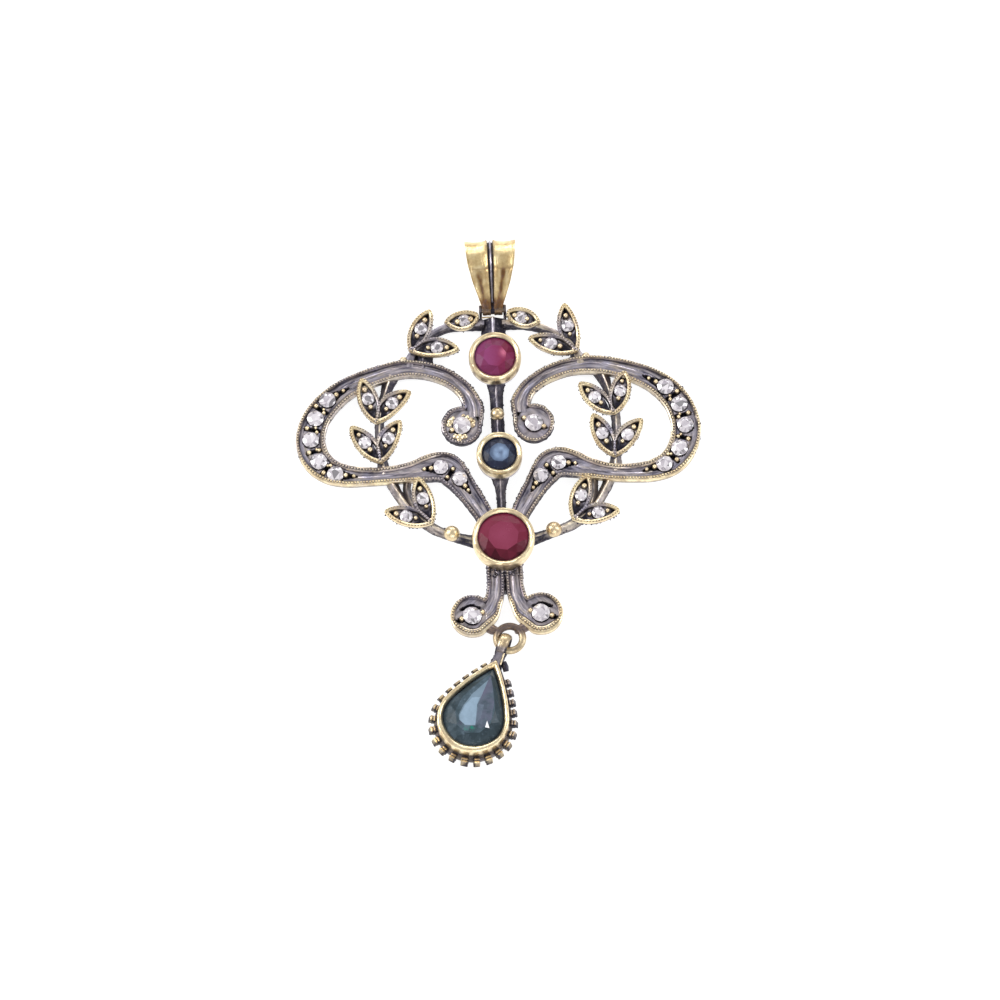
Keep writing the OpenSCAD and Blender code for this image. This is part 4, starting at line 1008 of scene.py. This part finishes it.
def bail_shape():
    shape = Shape()
    rows = even(smooth(BAIL_PATH, 10), BAIL_STEP)
    out = perp(heading(rows[:, :2]))
    run = length_to(rows[:, :2])[:, None]
    front = rows[:, 1:2] > 0.3
    s = np.linspace(-1, 1, 73)
    away = np.abs(s)
    # Two hollow lobes and a groove with a raised line on the middle
    lobe = np.clip(1 - ((away - 0.57) / 0.43) ** 2, 0, 1) ** 0.8 * rise(0.1, 0.2, away)
    groove = rise(0.13, 0.08, away)
    data = []
    for face in (1, -1):
        half = rows[:, 2:3] * (1.0 if face > 0 else 0.95)
        depth = BAIL_T / 2 - (FLUTE_D * rows[:, 3:4] * (lobe + 1.5 * groove) if face > 0 else 0)
        edge = 0.06 * rise(0.93, 1.0, away)
        p = rows[:, None, :2] + out[:, None] * (face * (depth - edge))[..., None]
        x = s * half
        # Crease across the front: pale above it, amber with brown down each lobe below
        along = run + 0.22 * wave(x * 1.2, 0 * x, 1.0, 3.0) + 0.1 * wave(x * 3, 0 * x, 1.0, 8.0)
        below = rise(4.15, 3.95, along) * front
        streak = wave(x * 3.0, run * 0.3, 1.0, 6.0)
        bend = 0.1 * wave(0 * x, run * 1.3, 1.0, 14.0)
        lobe_brown = bell(s, -0.6 - bend, 0.12) + bell(s, 0.55 + bend, 0.12)
        lobe_brown = lobe_brown * (0.8 + 0.9 * wave(x * 2, run * 1.2, 1.0, 12.0)) * rise(4.2, 3.7, run)
        # The low end by the eye is painted dark as shadow
        low = rise(1.5, 0.6, run)
        # The crease is painted darker as shade
        crease = bell(along, 4.05, 0.1) * front
        warm, dark = 0.1, 0.12
        if face > 0:
            warm = below * np.clip(0.25 + 0.45 * streak + lobe_brown, 0, 1) + 0.8 * low * front
            warm = warm + (1 - below) * front * np.clip(0.25 * streak + 0.05, 0, 0.3)
            # The groove is painted near black as shade
            dark = groove * 0.97 + (0.35 * low + 0.45 * below * np.clip(lobe_brown, 0, 1)) * front
            dark = dark + 0.3 * rise(0.22, 0.13, away) * front
        p = p - out[:, None] * (0.06 * crease)[..., None]
        # The ends stay out of the eye's bore
        p = p * np.maximum(1, 0.42 / np.maximum(np.linalg.norm(p, axis=2), 1e-6))[..., None]
        d = spread(x, PIN_Y + p[..., 0], PIN_Z + p[..., 1], 1, dark, warm + 0.35 * crease, run * 2, x)
        data.append(d[:, ::face])
    shape.grid(np.concatenate(data, 1), wrap=True)
    # Raised line in the groove, steel grey
    inner = slice(5, -5)
    path = rows[inner, :2] + out[inner] * (BAIL_T / 2 - FLUTE_D)
    at = run[inner, 0]
    worn = 0.45 - 0.4 * rise(4.2, 4.8, at) - 0.35 * bell(at, 3.3, 0.25)
    wire(shape, [(0, PIN_Y + y, PIN_Z + z) for y, z in path], 0.11, 0.0, np.clip(worn, 0, 1), sides=8)
    # Eye round the bar, with the strip's groove across it, painted dark as shade
    a = circle(48)
    w, r, bore = BAIL_EYE_W / 2, BAIL_EYE_D / 2, PIN_D / 2 + 0.05
    profile = [
        (-w + 0.01, bore), (-w, bore + 0.04), (-w, r - 0.08), (-w + 0.05, r - 0.02), (-0.75 * w, r),
        (-0.45 * w, r - 0.04), (-0.2 * w, r), (-0.14 * w, r - 0.12),
    ]
    eye = []
    for x, q in profile + [(-x, q) for x, q in profile[::-1]]:
        dark = (0.95 if abs(x) < 0.17 * w else 0.5) + 0.1 * np.cos(a * 3)
        eye.append(spread(x, *polar(q, a, PIN_Y, PIN_Z), 0.9, dark, 0.75, a, x))
    shape.grid(eye, wrap=True, loop=True)
    return shape


piece(bail_shape(), "fluted_bail", BAIL_GOLD, ["bail"], body="bail")

# ---------------------------------------------------------------- drop


def place_drop(p):
    """From the drop's own frame, tip up, to where it lies."""
    c, s = cos(LEAN), sin(LEAN)
    q = p.copy()
    q[:, 0] = DROP_X + p[:, 0] * c + p[:, 1] * s
    q[:, 1] = DROP_Y - p[:, 0] * s + p[:, 1] * c
    return q


def pear_outline(inset, steps=24):
    """Two side arcs that meet at the tip, and a round end."""
    r = PEAR_SIDE_R - inset
    right = np.stack(polar(r, np.linspace(PEAR_TURN, acos(-PEAR_SIDE[0] / r), steps + 1), *PEAR_SIDE), 1)
    b = pi - PEAR_TURN + (pi / 2 + PEAR_TURN) * np.arange(1, 2 * steps) / steps
    return np.vstack([right, right[-2::-1] * [-1, 1], np.stack(polar(PEAR_R - inset, b), 1)])


def pear_places(count):
    """Even places round the pear from its tip, clockwise: x, y, angle of the way out."""
    side_angle = acos(-PEAR_SIDE[0] / PEAR_SIDE_R) - PEAR_TURN
    side, bow = PEAR_SIDE_R * side_angle, PEAR_R * (pi + 2 * PEAR_TURN)
    pitch = (2 * side + bow) / count
    for i in range(2, count):
        s = i * pitch
        turned = s > side + bow
        s = 2 * side + bow - s if turned else s
        if s < side:
            a, r, (cx, cy) = PEAR_TURN + side_angle - s / PEAR_SIDE_R, PEAR_SIDE_R, PEAR_SIDE
        else:
            a, r, cx, cy = PEAR_TURN - (s - side) / PEAR_R, PEAR_R, 0, 0
        x, y = polar(r, a, cx, cy)
        yield (-x if turned else x), y, (pi - a if turned else a)


drop = Shape()
# inset, height, gold, dark, warm; the rows down inside the seat are painted dark as the shade between the rim
# and the stone
BEZEL = [
    (1.0, 0.02, 0.3, 0.6, 0), (-0.27, 0.02, 0.3, 0.5, 0), (-0.3, 0.1, 0.4, 0.7, 0),
    (-0.3, 0.8, 0.4, 0.8, 0.1), (-0.24, 0.9, 0.5, 0.8, 0.2), (0.02, 0.95, 0.5, 0.75, 0.2),
    (0.0, 1.15, 0.8, 0.35, 0.1), (0.0, 1.5, 1, 0.05, 0), (0.0, BEZEL_H - 0.22, 1, 0, 0),
    (0.03, BEZEL_H - 0.09, 1, 0, 0), (0.11, BEZEL_H - 0.01, 1, 0, 0), (0.2, BEZEL_H, 1, 0, 0),
    (0.28, BEZEL_H - 0.03, 1, 0, 0), (0.36, BEZEL_H - 0.1, 1, 0.0, 0), (0.5, BEZEL_H - 0.28, 0.8, 0.15, 0.2),
    (0.56, PEAR_GIRDLE + 0.16, 0.2, 0.9, 0), (PEAR_SEAT - 0.02, PEAR_GIRDLE, 0.2, 0.95, 0),
    (0.6, PEAR_GIRDLE - 0.4, 0.2, 0.95, 0), (1.0, 0.02, 0.2, 0.9, 0),
]
rows = []
for i, (inset, z, *tones) in enumerate(BEZEL):
    outline = pear_outline(inset)
    if 0.2 < inset < 0.6 and z > PEAR_GIRDLE + 0.1:
        outline = outline - unit(outline) * (0.22 * inset / 0.5 * rise(-0.5, -3.0, outline[:, 1]))[:, None]
    lump = wave(*outline.T, 1.4, 3.0 + 0.1 * i)
    outline = outline + unit(outline) * 0.03 * lump[:, None] * (0 < i < 15)
    rows.append(spread(*outline.T, z + 0.02 * lump * (z > 0.5), *tones, np.arange(len(outline)) * 0.2, inset))
drop.grid(rows, wrap=True)


def tooth(shape, x, y, angle):
    """Gallery tooth: a rounded bar, dark at the root and gold at the end, with a notch across its end."""
    out = np.array([cos(angle), sin(angle)])
    beside = np.array([-out[1], out[0]])
    w, h, corner = TOOTH_W / 2, TOOTH_H / 2, 0.07
    outline = []
    for quarter, (right, up) in enumerate(((1, 1), (-1, 1), (-1, -1), (1, -1))):
        cx, cz = right * (w - corner), up * (h - corner)
        outline += [polar(corner, radians(quarter * 90 + k * 45), cx, cz) for k in range(3)]
        if quarter == 0:
            outline += [(0.4 * w, h), (-0.4 * w, h)]
    low = float(rise(-0.2, 0.8, -sin(angle - LEAN)))
    outline = np.array(outline) * [(0.93 + 0.07 * low) * rng.uniform(0.92, 1.07), 1.0]
    end = TOOTH_OUT * (0.93 + 0.07 * low)
    # Distance out, size, gold, dark
    stations = [
        (-0.35, 0.94, 0.3, 0.95), (0.1, 0.94, 0.35, 0.95), (0.34, 0.97, 0.5, 0.85), (0.4, 1.0, 0.9, 0.1),
        (end - 0.34, 1.0, 0.9, 0.05), (end - 0.3, 0.9, 0.5, 0.95), (end - 0.22, 0.9, 0.6, 0.9),
        (end - 0.18, 1.0, 0.95, 0.0), (end - 0.05, 1.0, 1.0, 0.0), (end, 0.85, 0.9, 0.4),
    ]
    # One flank and the under side are painted dark as shade
    facing = cos(angle - LEAN)
    flank = np.where(outline[:, 0] * (1 if facing > 0 else -1) < -0.5 * w, 0.85, 0.0)
    flank = np.where(outline[:, 1] < 0, np.maximum(flank, 0.4), flank)
    grey = float(rise(0.2, 0.9, facing)) * (1 - low)
    rows = []
    for d, size, g, dk in stations:
        rough = 0.03 * rng.uniform(-1, 1)
        across, up = (outline * size).T
        dist = d * cos(TOOTH_RISE) - up * sin(TOOTH_RISE)
        z = 0.55 + d * sin(TOOTH_RISE) + up * cos(TOOTH_RISE)
        px = x + out[0] * dist + beside[0] * (across + rough)
        py = y + out[1] * dist + beside[1] * (across + rough)
        gold = g * (1 - 0.7 * grey) * (0.8 + 0.2 * low)
        dark = dk + flank + rng.uniform(-0.1, 0.1) + 0.1 * grey
        rows.append(spread(px, py, np.maximum(z, 0.01), gold, dark, 0.1 * (1 - grey), d, across))
    shape.tube(rows)


for place in pear_places(TOOTH_PLACES):
    tooth(drop, *place)
# Hook: a loop of wire through the jump ring, and a flat stalk down to the tip
turns, cross = circle(64)[:, None], circle(20)
reach = HOOK_R + HOOK_T / 2 * np.cos(cross)
y, z = polar(reach, turns, HOOK_AT, RING_Z + 0.02)
# Painted shade darkens the loop's under side and flanks; it is less golden on the under side and at its foot
low = 0.6 * np.maximum(rise(0.3, -0.4, np.sin(turns)), rise(-0.2, -0.6, np.cos(turns)))
dark = low + 0.55 * rise(0.55, 0.95, np.abs(np.sin(cross)))
loop = spread(HOOK_HALF * np.sin(cross), y, z, 0.95 - low, dark, 0.3, turns * HOOK_R, cross * 0.3)
drop.grid(loop, wrap=True, loop=True)
stalk = [[0, PEAR_TIP - 0.6, 0.7], [0, PEAR_TIP + 0.4, 0.58], [0, HOOK_AT - 0.8, 0.52]]
knife(drop, stalk, 2.1, 0.5, shade=(0.7, 0.6), gold=0.03, ridge_gold=0.03, worn=0.65, flat=0.6)
wire(drop, [(0.5, PEAR_TIP - 0.2, 1.9), (0.45, PEAR_TIP + 0.5, 1.95), (0.4, HOOK_AT - 0.75, 1.95)], 0.09, 0.9)
lump = [(0.65, PEAR_TIP + 0.4, 1.3), (0.95, PEAR_TIP, 1.3), (1.2, PEAR_TIP - 0.4, 1.15)]
wire(drop, lump, [0.26, 0.33, 0.28], 0.1, 0.9)
drop.move(place_drop)
piece(drop, "pear_bezel", METAL, ["drop_setting"])

# ---------------------------------------------------------------- stones


def hull(points):
    """Corners and faces of the convex hull of points, with flat parts as one face."""
    bm = bmesh.new()
    verts = [bm.verts.new(p) for p in points]
    bmesh.ops.convex_hull(bm, input=verts)
    bmesh.ops.delete(bm, geom=[v for v in bm.verts if not v.link_faces], context="VERTS")
    bmesh.ops.dissolve_limit(bm, angle_limit=radians(1.0), verts=bm.verts, edges=bm.edges)
    bm.verts.ensure_lookup_table()
    bm.verts.index_update()
    made = [tuple(v.co) for v in bm.verts], [[v.index for v in f.verts] for f in bm.faces]
    bm.free()
    return made


def facets(shape, points, faces, tone):
    """Adds faces with corners of their own, so that each facet has its own tone."""
    for face in faces:
        corners = np.array([points[i] for i in face])
        first, second = np.diff(corners[:3], axis=0)
        shape.cap(spread(*corners.T, *tone(corners.mean(0), unit(np.cross(first, second)))))


def round_cut(x, y, z, d, crown, back, table, turn, jitter, tilt=0.0):
    """Points of a round brilliant: table, crown break, girdle, lower break and culet."""
    r = d / 2
    points = []

    def ring(count, radius, height, offset=0.0):
        for i in range(count):
            a = turn + (i + offset) * 2 * pi / count
            k = 1 + jitter * rng.uniform(-1, 1)
            points.append([*polar(radius * k, a), height * (1 + jitter * rng.uniform(-1, 1))])

    ring(8, r * table, crown)
    ring(8, r * (table + 1) / 2 * 1.03, crown * 0.58, 0.5)
    ring(16, r, 0.03)
    ring(16, r, -0.03)
    ring(8, r * 0.42, -back * 0.66, 0.5)
    p = np.array(points + [[0, 0, -back]])
    p[:, 2] += p[:, 0] * tan(tilt)
    return p + [x, y, z]


# Each facet's lightness, and the few dark facets, are painted sparkle and shade
def diamond_tone(middle, way):
    return rng.uniform(0, 1) ** 0.6, 0.8 * (rng.random() < 0.16), 0.0


diamonds = Shape()
diamond_nodes = []
for side, word in SIDES:
    stones = [(name, x, y - side * lift / 2, d, SCROLL_GIRDLE) for name, x, y, d, lift in STRIP_STONES]
    for i, row in enumerate(LEAVES[side]):
        stones.append((f"leaf_{i + 1}", *leaf_point(row, LEAF_STONE_AT), LEAF_STONE_D, LEAF_GIRDLE))
    for name, x, y, d, z in stones:
        cut = round_cut(
            side * x, y, z, d, d * 0.15, d * 0.42, 0.52, rng.uniform(0, 1), 0.05, rng.uniform(-0.04, 0.04)
        )
        facets(diamonds, *hull(cut), diamond_tone)
        diamond_nodes.append(f"diamond_{word}_{name}")
piece(diamonds, "diamond_stones", DIAMOND, diamond_nodes, facets=True)


def ruby_top_tone(x, y, table):
    """Painted light: lighter plum facets on the left, crimson on the right, with a painted pink highlight
    right of the table's middle.
    """
    side = float(rise(-1.6, 1.6, x))
    pink = bell(x, 0.9, 0.33) * bell(y, 0.3, 0.4)
    if table:
        return 0.9 - 0.8 * side, 0.0, 0.75 * pink
    return 0.6 - 0.6 * side + 0.3 * rng.random(), 0.1 + 0.3 * rng.random(), 0.3 * pink


def ruby_main_tone(x, y, table):
    """Painted light: a lighter pinkish table, and facets painted darker as shade at the lower edge."""
    if table:
        return 0.55 + 0.35 * bell(x, -0.3, 1) * bell(y, 0, 1), 0.0, 0.0
    low = float(rise(0.2, -1.8, y))
    return 0.45 * rng.random() * (1 - low), (0.3 + 0.6 * rng.random()) * low, 0.0


def sapphire_tone(x, y, table):
    """Painted light: navy edge round a lighter blue table, with a few bright facets as painted highlights."""
    if table:
        cloud = noise.noise(Vector((x * 2.5, y * 2.5, 4.0)))
        ring = bell(hypot(x - 0.1, y), 0.45, 0.35) * (0.8 + 0.5 * cloud)
        return 0.35 + 0.6 * ring, 0.25 * (1 - ring), 0.22 * ring
    return 0.25 * rng.random() * (hypot(x, y) < 1.4), 0.2 + 0.5 * rng.random(), 0.0


for name, (y, d), material, slot, table, tone in (
    ("ruby_top", RUBY_TOP, RUBY_PINK, "ruby_pink", 0.55, ruby_top_tone),
    ("sapphire", SAPPHIRE, BLUE, "sapphire_blue", 0.56, sapphire_tone),
    ("ruby_main", RUBY_MAIN, RUBY_RED, "ruby_red", 0.6, ruby_main_tone),
):
    gem = Shape()
    cut = round_cut(0, y, COLLET_GIRDLE, d, 0.52, d * 0.42, table, 0.2, 0.01)
    facets(gem, *hull(cut), lambda middle, way: tone(middle[0], middle[1] - y, False))
    # Painted light over the table, in rings from its edge to its middle
    corners = even(np.vstack([cut[:8, :2], cut[:1, :2]]), d * table * 0.12)
    painted_table_light = []
    for part in (1.0, 0.75, 0.5, 0.25, 0.02):
        p = np.column_stack([corners[:, 0] * part, y + (corners[:, 1] - y) * part])
        height = cut[:8, 2].max() + 0.003
        painted_table_light.append([(px, py, height, *tone(px, py - y, True), 0.0, 0.0) for px, py in p])
    gem.grid(painted_table_light)
    piece(gem, f"{name}_stone", material, [name], facets=True)


def pear_tone(middle, way):
    """Dark teal facets, painted lighter at the upper left, where the light falls."""
    x, y, z = middle
    if z < PEAR_GIRDLE + 0.1:
        return 0.0, 0.7, 0.0
    if z > PEAR_GIRDLE + 0.8 and way[2] > 0.95:
        return 0.12, 0.2, 0.0
    return 0.18 * rng.random() * (x < 0.5), 0.25 + 0.35 * rng.random(), 0.0


drop_gem = Shape()
outline = pear_outline(PEAR_SEAT + 0.05, 6)
points = [[x, y, z] for z in (PEAR_GIRDLE + 0.03, PEAR_GIRDLE - 0.03) for x, y in outline]
for wide, long, z, turn in ((0.82, 0.87, PEAR_GIRDLE + 0.5, 1), (0.62, 0.74, PEAR_GIRDLE + 0.85, 0)):
    points += [[x * wide, 0.5 * (1 - long) / 0.26 + y * long, z] for x, y in outline[turn::2]]
points += [[0, 0.2, 0.35], [0, 2.6, 0.75], [0, 1.4, 0.5]]
facets(drop_gem, *hull(points), pear_tone)
# Painted light over the table, what shows through and off it: light, dark, glint, violet, green, and the
# corners
SHOWN = [
    (0.5, 0, 0, 0.1, 0.05, [
        (0.25, 4.6), (-0.38, 3.4), (-0.94, 2.24), (-1.32, 0.9), (-1.42, -0.32), (-0.94, -1.33), (0.8, -0.67),
        (-0.06, 1.37),
    ]),
    (0.8, 0, 0, 0, 0, [
        (-0.1, 2.2), (-0.8, 1.9), (-1.2, 0.9), (-1.32, -0.3), (-0.9, -1.2), (0.6, -0.7), (0.2, 0.34),
        (-0.1, 1.37),
    ]),
    (0.15, 0.15, 0, 0.9, 0.1, [
        (0.06, 4.75), (-0.02, 1.5), (0.5, -0.75), (1.2, -0.9), (1.8, 0.4), (1.45, 2.1), (0.75, 3.6),
    ]),
    (0.35, 0.2, 0, 0.5, 0, [(-0.02, 1.5), (0.5, -0.75), (0.75, 0.2), (0.55, 1.6)]),
    (0.9, 0, 1, 0, 0, [(1.45, 0.1), (1.5, -0.62), (1.95, -0.55)]),
    (0.1, 0.3, 0, 0.5, 0.3, [(-1.2, -0.75), (-0.5, -1.05), (-0.75, -1.55), (-1.3, -1.3)]),
    (0.1, 0.1, 0, 0, 1, [(0.1, -0.95), (0.75, -0.9), (0.6, -1.5), (0.2, -1.6)]),
    (0.3, 0.2, 0, 0.3, 0.5, [(-0.5, -1.1), (0.05, -1.0), (0.1, -1.55), (-0.4, -1.65)]),
]
for i, (*tones, corners) in enumerate(SHOWN):
    c = np.array(corners, float)
    if np.cross(c[1] - c[0], c[2] - c[0]) < 0:
        c = c[::-1]
    drop_gem.cap(spread(*c.T, PEAR_GIRDLE + 0.852 + 0.002 * i, *tones))
drop_gem.move(place_drop)
piece(drop_gem, "pear_stone", TEAL, ["drop_stone"], facets=True)

# ---------------------------------------------------------------- floor, lights and camera

ELEVATION, ROLL = radians(69), radians(2.5)
TARGET = Vector((-0.115, -5.082 - MIDDLE_Y, 0)) * MM
DISTANCE, LENS, SENSOR = 2.222, 800.0, 36.0
FLOOR_HALF, FLOOR_Z = 3.0, -0.00002

mesh = bpy.data.meshes.new("floor")
corners = [(x * FLOOR_HALF, y * FLOOR_HALF, FLOOR_Z) for x, y in ((-1, -1), (1, -1), (1, 1), (-1, 1))]
mesh.from_pydata(corners, [], [[0, 1, 2, 3]])
mesh.materials.append(floor_material())
floor_object = placed("floor", mesh)

lens = bpy.data.cameras.new("camera")
lens.lens, lens.sensor_width = LENS, SENSOR
lens.clip_start, lens.clip_end = 0.1, 20.0
camera = placed("camera", lens)
back = Vector((-sin(ROLL) * cos(ELEVATION), -cos(ROLL) * cos(ELEVATION), sin(ELEVATION)))
right = Vector((cos(ROLL), -sin(ROLL), 0))
columns = (right, back.cross(right), back, TARGET + back * DISTANCE)
camera.matrix_world = Matrix([[column[i] for column in columns] for i in range(3)] + [[0, 0, 0, 1]])
bpy.context.scene.camera = camera


def soft_light(name, place, size_x, size_y, power, colour=(1, 1, 1)):
    data = bpy.data.lights.new(name, "AREA")
    data.shape, data.size, data.size_y, data.energy, data.color = "RECTANGLE", size_x, size_y, power, colour
    obj = placed(name, data)
    obj.location = place
    obj.rotation_euler = (-Vector(place)).to_track_quat("-Z", "Y").to_euler()


soft_light("left", (-0.30, 0.08, 0.22), 0.2, 0.2, 0.75, (1, 0.99, 0.97))
soft_light("right", (0.30, 0.02, 0.2), 0.14, 0.2, 0.35, (0.97, 0.98, 1))
soft_light("far", (0.02, 0.33, 0.17), 0.3, 0.1, 0.4)
soft_light("near", (0.04, -0.32, 0.18), 0.25, 0.12, 0.35)

world = bpy.data.worlds.new("studio")
world.use_nodes = True
sky = world.node_tree.nodes["Background"]
sky.inputs[0].default_value, sky.inputs[1].default_value = (0.89, 0.89, 0.92, 1), 0.66
bpy.context.scene.world = world
bpy.context.scene.view_settings.view_transform = "Standard"
